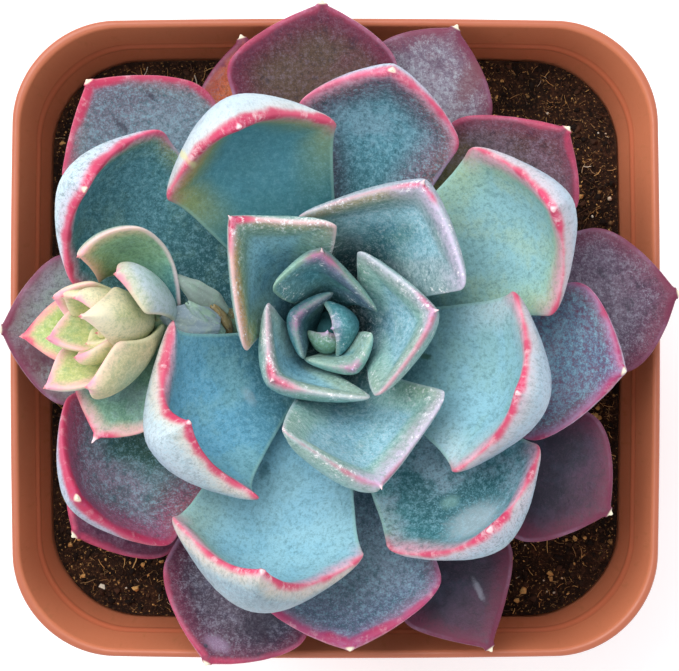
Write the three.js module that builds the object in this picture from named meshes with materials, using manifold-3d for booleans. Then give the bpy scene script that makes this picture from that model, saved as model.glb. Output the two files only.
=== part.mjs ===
// A rosette succulent with one young side rosette, standing in a square nursery pot of soil.
// Millimetres, Z up, the pot's underside on Z 0 and its centre on the Z axis.

import * as THREE from 'three';
import { mergeVertices } from 'three/addons/utils/BufferGeometryUtils.js';
import Module from 'manifold-3d';

const wasm = await Module();
wasm.setup();

// Driving dimensions

const GAP = 0.3;

const POT_WIDTH = 89.7;
const POT_DEPTH = 88.3;
const POT_HEIGHT = 80;
const POT_CORNER = 14;
const POT_CORNER_BASE = 8.5;
const POT_SIDE_BOW = 0.6;
const FLOOR_THICKNESS = 1.6;
const LEDGE_HEIGHT = 69;
const LEDGE_INSET = 3.15;
const FLOOR_EDGE_HEIGHT = 2.2;
const FLOOR_EDGE_INSET = 15;
const DRAIN_HOLE_RADIUS = 4;
const DRAIN_HOLE_OFFSET = 18;
const DRAIN_HOLE_SIDES = 14;

const SOIL_EDGE_HEIGHT = 63.6;
const SOIL_MOUND = 1.6;
const SOIL_ROUGHNESS = 0.5;
const SOIL_SIDE_GAP = 0.33;
const SOIL_RING_SHARES = [0.93, 0.78, 0.56, 0.3];
const SOIL_SEED = 77;

const AXIS_X = -1.0;
const AXIS_Y = 1.2;
const STEM_FOOT = 50;
const STEM_RADIUS = 4.3;
const STEM_SIDES = 14;

const HEART_HEIGHT = 92;
const LEAF_PITCH = 0.6;
const GOLDEN_ANGLE = 137.5;
const ROSETTE_START = 258;
const FOOT_SHARE = 0.26;
const UPPER_SHARE = 0.32;
const TIP_HALF_WIDTH = 0.35;
const CUP_WIDTH = 5;
const HEART_LEAVES = 4;
const LEAVES_OVER_SIDE = 12;
const SIDE_ROSETTE = 'side_rosette';

const OFFSET_FOOT = new THREE.Vector3(-22.5, 1.2, 95);
const OFFSET_RISE = 40;
const OFFSET_START = 342.5;
const OFFSET_FOOT_SHARE = 0.35;
const OFFSET_KEEL = 0.3;
const STALK_RADIUS = 2.1;

// The main rosette, one row a leaf from the heart outwards:
// lean from the golden angle, length, half width, rise at the foot, rise at the tip,
// where the bend starts, fold of the sides, softness of the fold, turn of the blade
// and, where the blade also leans to one side, its roll about the midrib.
const ROSETTE = [
  [7, 7.3, 2.7, 66, 132, 0.1, 40, 0.5, 0],
  [-22, 9.8, 3.9, 66, 128, 0.1, 42, 0.5, 0],
  [-15, 10.2, 5, 76, 68, 0.2, 38, 0.5, 6],
  [-8.5, 12.2, 5.3, 75, 60, 0.2, 34, 0.5, 24],
  [6, 17.8, 8, 69, 46, 0.4, 36, 0.4, 28],
  [-3, 17.9, 9, 69, 56, 0.4, 38, 0.4, 0],
  [7, 21.9, 10.2, 62, 44, 0.4, 40, 0.35, -12, -12],
  [-9.5, 27.2, 11, 57, 40, 0.4, 42, 0.35, -22],
  [11, 28.8, 12.2, 51, 44, 0.4, 40, 0.4, -18, -28],
  [1.5, 29.5, 12.2, 49, 44, 0.4, 38, 0.4, -16],
  [21, 37.4, 14.4, 34, 126, 0.5, 42, 0.6, 10, -6],
  [11, 38.2, 13, 31, 106, 0.5, 32, 0.6, 0],
  [5.5, 40.6, 13, 28, 104, 0.5, 30, 0.6, 0],
  [9.5, 49, 13.6, 26, 116, 0.5, 37, 0.6, -8],
  [5, 43.6, 12.7, 25, 94, 0.5, 28, 0.6, 3],
  [-10.5, 48, 12.2, 17, 104, 0.5, 28, 0.6, 0],
  [11, 44.5, 12.6, 22, 100, 0.5, 28, 0.6, 7],
  [0.5, 39.8, 11.4, 21, 70, 0.5, 24, 0.7, 0],
  [1, 46.2, 12.4, 13, 88, 0.55, 28, 0.7, 0],
  [1.5, 41.2, 11.4, 19, 46, 0.5, 22, 0.8, 10],
  [6, 46, 11.2, 13, 36, 0.5, 18, 0.8, 12],
  [8.5, 43.4, 12.4, 16, 42, 0.5, 20, 0.8, 0],
  [-3, 41.4, 11.4, 15, 30, 0.5, 18, 0.8, -14],
  [-0.5, 43, 10.6, 10, 30, 0.5, 22, 0.8, 0],
  [9, 44, 10.2, 13, 20, 0.5, 12, 0.8, 0],
  [-4.5, 43, 11.6, 13, 26, 0.5, 15, 0.8, 0],
  [17, 47.4, 10.4, 12, 34, 0.5, 22, 0.8, 8],
  [-4.5, 46.2, 10.4, 12, 20, 0.5, 12, 0.8, -6],
  [0, 38, 10, 11, 20, 0.5, 12, 0.8, 0],
  [11.5, 47, 9.4, 11, 18, 0.5, 12, 0.8, -8],
  [4, 43, 9.6, 12, 20, 0.5, 12, 0.8, 6],
  [18.5, 43.4, 10.5, 8, 34, 0.5, 18, 0.8, 0],
  [0, 35.5, 9.2, 8, 16, 0.5, 12, 0.8, 0],
  [-9, 39.5, 9, 9, 14, 0.5, 12, 0.8, 0],
];

// Leaves whose edges depart from the rule: how full the edge is towards the tip and how wide that half is,
// first on the counter-clockwise side and then on the other, with the place of the shoulders as a fifth number.
const EDGES = {
  4: [1, 1, 1, 1],
  5: [1.25, 1.2, 1, 0.92],
  6: [1, 0.92, 1.1, 1.12],
  7: [1.3, 1, 0.6, 1, 0.67],
  8: [0.9, 0.95, 1, 1.22, 0.78],
  9: [1.2, 1, 1.15, 1.06],
  10: [1, 0.95, 0.5, 0.95],
  11: [1.15, 1, 1.15, 1],
  12: [1.1, 1, 1, 0.95],
  13: [0.85, 0.95, 0.9, 1.02],
  14: [1.3, 1, 1.2, 1],
  15: [1.2, 1, 1.5, 1],
  16: [1.2, 1, 1.2, 1],
  20: [1.2, 1.15, 1.9, 1],
  21: [1.9, 1.07, 1.9, 1],
  22: [1.6, 1, 1.3, 0.86],
  25: [1.9, 1.16, 1.7, 0.9],
  26: [1.9, 1.15, 1.9, 1],
  29: [1.3, 1, 1.2, 1],
};

// The side rosette, one row a leaf from its heart outwards: the same nine columns,
// then the roll about the midrib and the height on the side stem.
const OFFSET = [
  [0, 5, 1.3, 85, 95, 0.1, 30, 0.5, 0, 0, 6],
  [0, 6, 1.8, 84, 95, 0.1, 35, 0.5, 0, 0, 5.6],
  [0, 7, 2, 80, 95, 0.1, 35, 0.5, 0, 0, 5.2],
  [0, 11, 3, 68, 84, 0.1, 35, 0.5, 0, 0, 4.8],
  [0, 9, 2.6, 74, 90, 0.1, 35, 0.5, 0, 0, 4.4],
  [15, 12.5, 3.2, 64, 80, 0.1, 38, 0.5, 0, 0, 4],
  [0, 12.5, 3.2, 66, 92, 0.1, 35, 0.5, 0, 0, 3.6],
  [0, 12.5, 3.2, 60, 84, 0.1, 35, 0.5, 0, 0, 3.2],
  [0, 13, 3.6, 58, 88, 0.1, 38, 0.5, 0, 10, 2.8],
  [0, 16, 4.8, 60, 88, 0.1, 35, 0.5, 0, 0, 2.4],
  [14, 16.5, 3.8, 50, 64, 0.1, 30, 0.5, 0, -20, 2],
  [0, 20, 5.9, 26, 112, 0.1, 25, 0.5, 0, 55, -1.8],
  [-15, 17.4, 5, 44, 78, 0.1, 30, 0.5, 0, 30, 1],
  [14, 18.4, 4.5, 46, 50, 0.1, 26, 0.5, 0, 0, 0],
  [4, 16, 4.4, 46, 78, 0.1, 30, 0.5, 0, 0, -1],
  [-4, 18, 7.4, 30, 34, 0.3, 22, 0.5, 0, -35, -1],
];

// Small tools

const UP = new THREE.Vector3(0, 0, 1);
const radians = THREE.MathUtils.degToRad;
const clamp01 = (value) => Math.min(Math.max(value, 0), 1);

function smooth(value) {
  const t = clamp01(value);
  return t * t * (3 - 2 * t);
}

// A value that runs straight from key to key: keys are [place, value] pairs.
function along(keys, place) {
  const last = keys.length - 1;
  if (place <= keys[0][0]) return keys[0][1];
  for (let i = 0; i < last; i += 1) {
    const [x0, y0] = keys[i];
    const [x1, y1] = keys[i + 1];
    if (place <= x1) return y0 + ((y1 - y0) * (place - x0)) / (x1 - x0);
  }
  return keys[last][1];
}

// Dice that fall alike on every build.
function makeDice(seed) {
  let state = seed;
  return () => {
    state = (state * 16807) % 2147483647;
    return state / 2147483647;
  };
}

// A closed skin over a row of rings, with one point before the first and one after the last.
function skin(rings, first, last) {
  const count = rings[0].length;
  const points = [first, ...rings.flat(), last];
  const end = points.length - 1;
  const index = [];
  for (let j = 0; j < count; j += 1) {
    const k = (j + 1) % count;
    index.push(0, 1 + k, 1 + j);
    for (let i = 0; i < rings.length - 1; i += 1) {
      const low = 1 + i * count;
      const high = low + count;
      index.push(low + j, low + k, high + k);
      index.push(low + j, high + k, high + j);
    }
    index.push(end, end - count + j, end - count + k);
  }
  const geometry = new THREE.BufferGeometry().setFromPoints(points);
  geometry.setIndex(index);
  return geometry;
}

function solidOf(geometry) {
  const plain = geometry.clone();
  plain.deleteAttribute('normal');
  plain.deleteAttribute('uv');
  const joined = mergeVertices(plain, 1e-4);
  const mesh = new wasm.Mesh({
    numProp: 3,
    vertProperties: joined.attributes.position.array,
    triVerts: joined.index.array,
  });
  return new wasm.Manifold(mesh);
}

function lathe(profile) {
  const geometry = new THREE.LatheGeometry(profile.map(([r, z]) => new THREE.Vector2(r, z)), STEM_SIDES);
  return geometry.rotateX(Math.PI / 2);
}

function geometryOf(solid) {
  const mesh = solid.getMesh();
  const geometry = new THREE.BufferGeometry();
  geometry.setAttribute('position', new THREE.BufferAttribute(mesh.vertProperties, 3));
  geometry.setIndex(new THREE.BufferAttribute(mesh.triVerts, 1));
  return geometry;
}

// Pot

// One level of the pot: a square with round corners and softly bowed sides.
function squareRing(inset, z, cornerSteps = 5, sideSteps = 4) {
  const halfX = POT_WIDTH / 2 - inset;
  const halfY = POT_DEPTH / 2 - inset;
  const share = clamp01(inset / FLOOR_EDGE_INSET);
  const corner = POT_CORNER + (POT_CORNER_BASE - POT_CORNER) * share;
  const flat = [];
  for (let quarter = 0; quarter < 4; quarter += 1) {
    const cx = (quarter === 0 || quarter === 3 ? 1 : -1) * (halfX - corner);
    const cy = (quarter < 2 ? 1 : -1) * (halfY - corner);
    for (let i = 0; i <= cornerSteps; i += 1) {
      const angle = (quarter + i / cornerSteps) * (Math.PI / 2);
      flat.push([cx + corner * Math.cos(angle), cy + corner * Math.sin(angle)]);
    }
  }
  const ring = [];
  flat.forEach(([x, y], i) => {
    ring.push([x, y]);
    const [nextX, nextY] = flat[(i + 1) % flat.length];
    if (i % (cornerSteps + 1) === cornerSteps) {
      for (let k = 1; k < sideSteps; k += 1) {
        const t = k / sideSteps;
        ring.push([x + (nextX - x) * t, y + (nextY - y) * t]);
      }
    }
  });
  return ring.map(([x, y]) => {
    const bowX = 1 + (POT_SIDE_BOW * (1 - (y / halfY) ** 2)) / halfX;
    const bowY = 1 + (POT_SIDE_BOW * (1 - (x / halfX) ** 2)) / halfY;
    return new THREE.Vector3(x * bowX, y * bowY, z);
  });
}

function innerWallInset(z) {
  const slope = (FLOOR_EDGE_INSET - LEDGE_INSET) / (LEDGE_HEIGHT - FLOOR_EDGE_HEIGHT);
  return LEDGE_INSET + (LEDGE_HEIGHT - z) * slope;
}

function makePot() {
  const top = POT_HEIGHT;
  const profile = [
    [14.6, 0],
    [13.9, 0.7],
    [1.95, 68],
    [1.45, 68.3],
    [0.5, top - 1.9],
    [0.05, top - 1.6],
    [0, top - 0.5],
    [0.3, top],
    [0.85, top],
    [1.15, top - 0.4],
    [2.5, LEDGE_HEIGHT + 0.9],
    [2.95, LEDGE_HEIGHT + 0.6],
    [LEDGE_INSET, LEDGE_HEIGHT],
    [FLOOR_EDGE_INSET, FLOOR_EDGE_HEIGHT],
    [FLOOR_EDGE_INSET + 0.8, FLOOR_THICKNESS],
  ];
  const rings = profile.map(([inset, z]) => squareRing(inset, z));
  const under = new THREE.Vector3(0, 0, 0);
  const floor = new THREE.Vector3(0, 0, FLOOR_THICKNESS);
  let pot = solidOf(skin(rings, under, floor));
  const signs = [-1, 1];
  for (const x of signs) {
    for (const y of signs) {
      const deep = 4 * FLOOR_THICKNESS;
      const hole = new THREE.CylinderGeometry(DRAIN_HOLE_RADIUS, DRAIN_HOLE_RADIUS, deep, DRAIN_HOLE_SIDES);
      hole.rotateX(Math.PI / 2);
      hole.translate(x * DRAIN_HOLE_OFFSET, y * DRAIN_HOLE_OFFSET, 0);
      pot = pot.subtract(solidOf(hole));
    }
  }
  return pot;
}

// Soil

function makeSoil() {
  const dice = makeDice(SOIL_SEED);
  const bottom = FLOOR_THICKNESS + GAP;
  const level = (z) => squareRing(innerWallInset(z) + SOIL_SIDE_GAP, z);
  const rings = [
    squareRing(FLOOR_EDGE_INSET + 1.4, bottom),
    level(FLOOR_EDGE_HEIGHT + 0.8),
    level(SOIL_EDGE_HEIGHT),
  ];
  const edge = rings[rings.length - 1];
  for (const share of SOIL_RING_SHARES) {
    const height = SOIL_EDGE_HEIGHT + SOIL_MOUND * smooth(1.25 - share);
    rings.push(edge.map((point) => {
      const rough = (dice() - 0.5) * 2 * SOIL_ROUGHNESS;
      return new THREE.Vector3(point.x * share, point.y * share, height + rough);
    }));
  }
  const middle = new THREE.Vector3(0, 0, SOIL_EDGE_HEIGHT + SOIL_MOUND);
  const mass = solidOf(skin(rings, new THREE.Vector3(0, 0, bottom), middle));
  const hole = lathe([
    [0, STEM_FOOT - GAP],
    [STEM_RADIUS + GAP, STEM_FOOT - GAP],
    [STEM_RADIUS + GAP, POT_HEIGHT],
    [0, POT_HEIGHT],
  ]);
  return mass.subtract(solidOf(hole.translate(AXIS_X, AXIS_Y, 0)));
}

// Stem and the stalk of the side rosette

const offsetAxis = new THREE.Vector3(-Math.cos(radians(OFFSET_RISE)), 0, Math.sin(radians(OFFSET_RISE)));

function makeStalk(swell) {
  const onAxis = (distance) => OFFSET_FOOT.clone().addScaledVector(offsetAxis, distance);
  const way = new THREE.CatmullRomCurve3([
    new THREE.Vector3(0, 0, 78),
    new THREE.Vector3(-8, 0.4, 82.6),
    onAxis(-5),
    onAxis(0),
    onAxis(6),
  ]);
  const steps = 12;
  const sides = 10;
  const frames = way.computeFrenetFrames(steps, false);
  const rings = [];
  for (let i = 0; i <= steps; i += 1) {
    const share = i / steps;
    const radius = STALK_RADIUS * along([[0, 1.1], [0.6, 1], [0.8, 0.85], [1, 0.25]], share) + swell;
    const centre = way.getPointAt(share);
    const ring = [];
    for (let j = 0; j < sides; j += 1) {
      const angle = (j / sides) * 2 * Math.PI;
      const point = centre.clone();
      point.addScaledVector(frames.normals[i], radius * Math.cos(angle));
      point.addScaledVector(frames.binormals[i], radius * Math.sin(angle));
      ring.push(point);
    }
    rings.push(ring);
  }
  const tip = onAxis(6.4 + swell);
  return solidOf(skin(rings, way.getPointAt(0), tip));
}

function makeStem(swell) {
  return solidOf(lathe([
    [0, STEM_FOOT - swell],
    [STEM_RADIUS - 0.8 + swell, STEM_FOOT - swell],
    [STEM_RADIUS + swell, STEM_FOOT + 1.6],
    [STEM_RADIUS + swell, 72],
    [4.0 + swell, 80],
    [3.4 + swell, 86],
    [2.4 + swell, 89.6],
    [1.2 + swell, 91.8],
    [0, 92.4 + swell],
  ]));
}

// Leaves

const LEAF_ROWS = [0, 0.12, 0.3, 0.48, 0.62, 0.74, 0.84, 0.92, 0.98];
const LEAF_ROUND = [0, 42, 90, 138, 180, 212, 242, 270, 298, 328].map(radians);
const SMALL_ROWS = [0, 0.25, 0.5, 0.72, 0.9];
const SMALL_ROUND = [0, 45, 90, 135, 180, 225, 270, 315].map(radians);

function readRow(row) {
  const [lean, length, half, rise0, rise1, bend, fold, soft, yaw, roll = 0, low = 0] = row;
  return { lean, length, half, rise0, rise1, bend, fold, soft, yaw, roll, low };
}

function rosetteLeaf(n) {
  const leaf = readRow(ROSETTE[n]);
  leaf.azimuth = ROSETTE_START + GOLDEN_ANGLE * n + leaf.lean;
  leaf.footHeight = HEART_HEIGHT - LEAF_PITCH * n;
  leaf.footRadius = along([[0, 1], [4, 2.2], [10, 3.3], [33, 4]], n);
  const full = along([[0, 1.25], [9, 1.3], [16, 1.5], [22, 1.9]], n);
  leaf.edges = EDGES[n] ?? [full, 1, full, 1];
  leaf.shoulder = leaf.edges[4] ?? along([[16, 0.72], [19, 0.75], [21, 0.79]], n);
  leaf.wedge = along([[3, 1], [4, 1.4], [9, 1.4], [11, 1], [20, 0.85], [33, 0.8]], n);
  leaf.thick = along([[0, 1.9], [3, 2.2], [6, 2.8], [9, 3.5], [12, 4.4], [17, 3.6], [33, 3]], n);
  leaf.cup = along([[0, 0], [3, 0.6], [4, 1.4], [9, 1.6], [10, 0.6], [20, 0.4], [33, 0.3]], n);
  leaf.foot = FOOT_SHARE;
  leaf.keel = along([[9, 0.35], [12, 0.25], [17, 0.15]], n);
  return leaf;
}

function offsetLeaf(k) {
  const leaf = readRow(OFFSET[k]);
  leaf.azimuth = OFFSET_START - GOLDEN_ANGLE * k + leaf.lean;
  leaf.footHeight = leaf.low;
  leaf.footRadius = along([[0, 0.3], [5, 0.8], [15, 1.4]], k);
  leaf.shoulder = 0.68;
  leaf.edges = [1.4, 1, 1.4, 1];
  leaf.wedge = 0.8;
  leaf.thick = along([[0, 1.2], [5, 1.7], [15, 2.3]], k);
  leaf.cup = 0;
  leaf.foot = OFFSET_FOOT_SHARE;
  leaf.keel = OFFSET_KEEL;
  return leaf;
}

// How far a leaf's edge is from its midrib at a share of its length, on the side that q points to.
function halfWidth(leaf, s, q) {
  const [full, wide] = q > 0 ? leaf.edges.slice(0, 2) : leaf.edges.slice(2, 4);
  const u = (s - leaf.shoulder) / (1 - leaf.shoulder);
  const share = u < 0
    ? leaf.foot + (1 - leaf.foot) * (s / leaf.shoulder) ** leaf.wedge
    : Math.max(1 - u ** full, 0) ** 0.95;
  return Math.max(leaf.half * wide * share, TIP_HALF_WIDTH);
}

// The midrib: the rise bends from foot to tip, and radius and height follow from it.
function midrib(leaf) {
  const steps = 120;
  const path = [{ r: leaf.footRadius, z: leaf.footHeight, rise: radians(leaf.rise0) }];
  for (let i = 1; i <= steps; i += 1) {
    const before = path[i - 1];
    const bend = smooth((i / steps - leaf.bend) / (1 - leaf.bend));
    const rise = radians(leaf.rise0 + (leaf.rise1 - leaf.rise0) * bend);
    const step = leaf.length / steps;
    const mean = (before.rise + rise) / 2;
    path.push({ r: before.r + step * Math.cos(mean), z: before.z + step * Math.sin(mean), rise });
  }
  return (s) => path[Math.round(clamp01(s) * steps)];
}

// One section of a leaf: a folded blade, flatter above and keeled below, with a raised rim.
function leafSection(leaf, rib, s, round, swell) {
  const { r, z, rise } = rib(s);
  const phi = radians(leaf.azimuth);
  const outward = new THREE.Vector3(Math.cos(phi), Math.sin(phi), 0);
  const side = new THREE.Vector3(-Math.sin(phi), Math.cos(phi), 0);
  const centre = outward.clone().multiplyScalar(r).addScaledVector(UP, z);
  const normal = outward.clone().multiplyScalar(-Math.sin(rise)).addScaledVector(UP, Math.cos(rise));
  const forward = outward.clone().multiplyScalar(Math.cos(rise)).addScaledVector(UP, Math.sin(rise));
  const turned = side.clone().applyAxisAngle(normal, -radians(leaf.yaw) * smooth(1.3 * s));
  const across = turned.clone().applyAxisAngle(forward, radians(leaf.roll) * s);
  const face = normal.clone().applyAxisAngle(forward, radians(leaf.roll) * s);

  const past = clamp01((s - leaf.shoulder) / (1 - leaf.shoulder));
  const slope = Math.tan(radians(leaf.fold)) * (0.35 + 0.65 * smooth(s / leaf.shoulder));
  const soft = leaf.soft * leaf.half;
  const body = 0.5 + 0.5 * Math.sin(0.8 * Math.PI * s ** 0.8);
  const thick = leaf.thick * body * Math.sqrt(Math.max(1 - past ** 3, 0.02));
  return round.map((angle) => {
    const q = Math.cos(angle);
    const lift = Math.sin(angle);
    const half = halfWidth(leaf, s, q);
    const x = half * q;
    const root = Math.hypot(x, soft);
    const tilt = Math.atan((slope * x) / root);
    const keel = 1 + leaf.keel * smooth(1.4 * s - 0.4) * (1 - Math.abs(q)) ** 1.5;
    const share = lift > 0 ? UPPER_SHARE : (1 - UPPER_SHARE) * keel;
    const out = lift * (share * thick + swell);
    const edge = Math.min(half * (1 - Math.abs(q)), leaf.length * (1 - s));
    const fold = slope * (root - soft) - leaf.cup * smooth(edge / CUP_WIDTH);
    const point = centre.clone();
    point.addScaledVector(across, x + swell * q * Math.cos(tilt) - out * Math.sin(tilt));
    point.addScaledVector(face, fold + swell * q * Math.sin(tilt) + out * Math.cos(tilt));
    return point;
  });
}

function makeLeaf(leaf, rows, round, swell) {
  const rib = midrib(leaf);
  const rings = rows.map((s) => leafSection(leaf, rib, s, round, swell));
  const mean = (ring) => ring.reduce((sum, p) => sum.add(p), new THREE.Vector3()).divideScalar(ring.length);
  const foot = mean(rings[0]);
  const end = mean(leafSection(leaf, rib, 1, round, swell));
  const beyond = end.clone().sub(mean(rings[rings.length - 1])).normalize();
  return skin(rings, foot, end.addScaledVector(beyond, swell + 0.3));
}

// Puts a leaf of the side rosette on its leaning stem.
function leanOver(geometry) {
  const rise = radians(OFFSET_RISE);
  const x = new THREE.Vector3(-Math.sin(rise), 0, -Math.cos(rise));
  const y = new THREE.Vector3().crossVectors(offsetAxis, x);
  const place = new THREE.Matrix4().makeBasis(x, y, offsetAxis);
  place.setPosition(OFFSET_FOOT);
  return geometry.applyMatrix4(place);
}

// Leaves and side rosette in the order in which they give way: the first keeps its whole shape.
function listGrowth() {
  const list = ROSETTE.map((row, n) => {
    const [rows, round] = n < HEART_LEAVES ? [SMALL_ROWS, SMALL_ROUND] : [LEAF_ROWS, LEAF_ROUND];
    return {
      name: `leaf_${String(n + 1).padStart(2, '0')}`,
      build: (swell) => solidOf(makeLeaf(rosetteLeaf(n), rows, round, swell)),
    };
  });
  list.splice(LEAVES_OVER_SIDE, 0, { name: SIDE_ROSETTE, build: makeSideRosette });
  return list;
}

function makeSideRosette(swell) {
  let head = makeStalk(swell);
  OFFSET.forEach((row, k) => {
    head = head.add(solidOf(leanOver(makeLeaf(offsetLeaf(k), SMALL_ROWS, SMALL_ROUND, swell))));
  });
  return head;
}

function makeGrowth(stemRoom) {
  const kept = [];
  for (const { name, build } of listGrowth()) {
    let solid = build(0).subtract(stemRoom);
    for (const other of kept) solid = solid.subtract(other.room);
    kept.push({ name, solid, room: build(GAP) });
  }
  return kept;
}

// Assembly

const LOOKS = {
  pot: { color: 0xb0583a, roughness: 0.5 },
  soil: { color: 0x33231a, roughness: 0.95 },
  stem: { color: 0x8a9a80, roughness: 0.7 },
  leaf: { color: 0x7fb0ac, roughness: 0.6 },
  youngLeaf: { color: 0x9db57a, roughness: 0.6 },
};

const plant = new THREE.Group();
plant.name = 'potted_echeveria';

function addPiece(name, solid, look, x = 0, y = 0) {
  const geometry = geometryOf(solid);
  geometry.computeVertexNormals();
  const material = new THREE.MeshStandardMaterial({ ...look, metalness: 0 });
  const mesh = new THREE.Mesh(geometry, material);
  mesh.name = name;
  mesh.position.set(x, y, 0);
  plant.add(mesh);
}

addPiece('pot', makePot(), LOOKS.pot);
addPiece('soil', makeSoil(), LOOKS.soil);
addPiece('stem', makeStem(0), LOOKS.stem, AXIS_X, AXIS_Y);
for (const { name, solid } of makeGrowth(makeStem(GAP))) {
  addPiece(name, solid, name === SIDE_ROSETTE ? LOOKS.youngLeaf : LOOKS.leaf, AXIS_X, AXIS_Y);
}

export default plant;
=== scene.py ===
import math
import random

import bpy
from mathutils import Matrix, Vector, kdtree, noise


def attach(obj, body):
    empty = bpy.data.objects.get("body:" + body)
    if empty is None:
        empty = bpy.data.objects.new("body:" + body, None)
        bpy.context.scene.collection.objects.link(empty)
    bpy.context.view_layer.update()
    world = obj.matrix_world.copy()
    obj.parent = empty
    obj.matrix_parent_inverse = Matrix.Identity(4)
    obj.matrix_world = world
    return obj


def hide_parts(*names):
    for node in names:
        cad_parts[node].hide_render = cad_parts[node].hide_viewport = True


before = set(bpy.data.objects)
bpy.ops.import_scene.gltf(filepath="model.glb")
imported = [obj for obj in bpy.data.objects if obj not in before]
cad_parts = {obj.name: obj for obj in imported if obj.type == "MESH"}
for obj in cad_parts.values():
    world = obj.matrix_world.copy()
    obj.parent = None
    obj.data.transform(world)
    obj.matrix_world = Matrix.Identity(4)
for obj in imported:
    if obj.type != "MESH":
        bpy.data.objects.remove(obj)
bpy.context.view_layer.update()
mm = 0.001

# Plain helpers

def clamp(value, low=0.0, high=1.0):
    return min(max(value, low), high)


def ease(value):
    t = clamp(value)
    return t * t * (3 - 2 * t)


def between(keys, place):  # straight from key to key, each a (place, value) pair
    if place <= keys[0][0]:
        return keys[0][1]
    for (x0, y0), (x1, y1) in zip(keys, keys[1:]):
        if place <= x1:
            return y0 + (y1 - y0) * (place - x0) / (x1 - x0)
    return keys[-1][1]


def addPrimitive(adder, name, **options):  # a new primitive, alone in the selection
    if bpy.context.mode != "OBJECT":
        closeMesh()
    bpy.ops.object.select_all(action="DESELECT")
    adder(**options)
    piece = bpy.context.object
    piece.name = name
    piece.data.name = name
    return piece


def pick(piece):  # this piece alone, selected and active
    bpy.ops.object.select_all(action="DESELECT")
    bpy.context.view_layer.objects.active = piece
    piece.select_set(True)


def openMesh():  # edit mode with everything selected
    bpy.ops.object.mode_set(mode="EDIT")
    bpy.ops.mesh.select_all(action="SELECT")


def closeMesh():
    bpy.ops.object.mode_set(mode="OBJECT")


def cutRings(rings):  # cuts a fresh cylinder that is 2 high into this many rings
    for i in range(1, rings):
        openMesh()
        bpy.ops.mesh.bisect(plane_co=(0, 0, -1 + 2 * i / rings), plane_no=(0, 0, 1))
    closeMesh()


def settle(piece, angle=None):  # closes seams, turns faces outwards and shades smooth
    pick(piece)
    bpy.ops.object.transform_apply(location=True, rotation=True, scale=True)
    openMesh()
    bpy.ops.mesh.remove_doubles(threshold=0.000001)
    bpy.ops.mesh.normals_make_consistent(inside=False)
    closeMesh()
    if angle is None:
        bpy.ops.object.shade_smooth()
    else:
        bpy.ops.object.shade_smooth_by_angle(angle=math.radians(angle))
    piece.select_set(False)


def applyModifier(piece, kind, **settings):
    pick(piece)
    modifier = piece.modifiers.new(kind.lower(), kind)
    for key, value in settings.items():
        setattr(modifier, key, value)
    bpy.ops.object.modifier_apply(modifier=modifier.name)
    piece.select_set(False)


def putOn(piece, finish, slot, *nodes):  # a finished piece joins the part
    piece.data.materials.clear()
    piece.data.materials.append(finish)
    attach(piece, "root")
    if nodes:
        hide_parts(*nodes)


# Colours and shader maths

palette = {
    "abyss": "#16343a", "deepTeal": "#2c5d66", "teal": "#4a8a92", "pool": "#4088a4",
    "lake": "#6ba3bb", "sky": "#6aaccb", "ice": "#93c4d4", "mint": "#9fccc2",
    "mist": "#a3bfae", "sage": "#86a88e", "moss": "#a0a85c", "fen": "#3d5f4c",
    "lime": "#bcc98c", "frost": "#d6e5ea", "cloud": "#acc0d2", "pearl": "#c6d5de",
    "stone": "#94879a", "haze": "#8d9fac", "rose": "#d04068", "orchid": "#c878ae",
    "carmine": "#b83458", "blush": "#eba2ba", "petal": "#f2d3d8", "lilac": "#cdb4d8",
    "mauve": "#a8709a", "magenta": "#a8386a", "berry": "#8a3558", "wine": "#74304b",
    "claret": "#6e2240", "night": "#302c3b", "plum": "#57415a", "dusk": "#3b3443",
    "ash": "#857687", "slate": "#5c6e8a", "violet": "#65587c", "olive": "#6d5c49",
    "russet": "#86636c", "rust": "#7a4a52", "silver": "#a9abba", "ivory": "#efe6cd",
    "straw": "#c9a86c", "ember": "#d8693a", "bark": "#5a4030", "husk": "#94835c",
    "grey": "#9fb0aa", "butter": "#ddd8a0", "linen": "#e6dfba", "khaki": "#c2bb90",
    "peachy": "#e3b9a0", "coral": "#e08c92", "amber": "#cf9a5e", "pear": "#b9c07a",
    "verdant": "#9cb254", "fern": "#92c096", "leek": "#6c957a", "terracotta": "#b05a3c",
    "clay": "#9a4a2e", "clayPaintedLight": "#ee9068", "peach": "#d08a6c", "soot": "#1a0f0a",
    "humus": "#4a2f20", "tan": "#b08858", "gold": "#d9a968", "bone": "#ece3cf",
    "ink": "#1c2430", "white": "#f6f4f6",
}


def tint(name):  # a palette colour as linear light
    parts = [int(palette[name][i:i + 2], 16) / 255 for i in (1, 3, 5)]
    light = [c / 12.92 if c <= 0.04045 else ((c + 0.055) / 1.055) ** 2.4 for c in parts]
    return (*light, 1.0)


class Wire:  # one output socket, with arithmetic
    def __init__(self, finish, socket):
        self.finish = finish
        self.socket = socket

    def maths(self, operation, a, b=0.0):
        return self.finish.node("ShaderNodeMath", {"operation": operation}, {0: a, 1: b})

    def __add__(self, other):
        return self.maths("ADD", self, other)

    def __radd__(self, other):
        return self.maths("ADD", other, self)

    def __sub__(self, other):
        return self.maths("SUBTRACT", self, other)

    def __rsub__(self, other):
        return self.maths("SUBTRACT", other, self)

    def __mul__(self, other):
        return self.maths("MULTIPLY", self, other)

    def __rmul__(self, other):
        return self.maths("MULTIPLY", other, self)

    def most(self, other):
        return self.maths("MAXIMUM", self, other)


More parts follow.
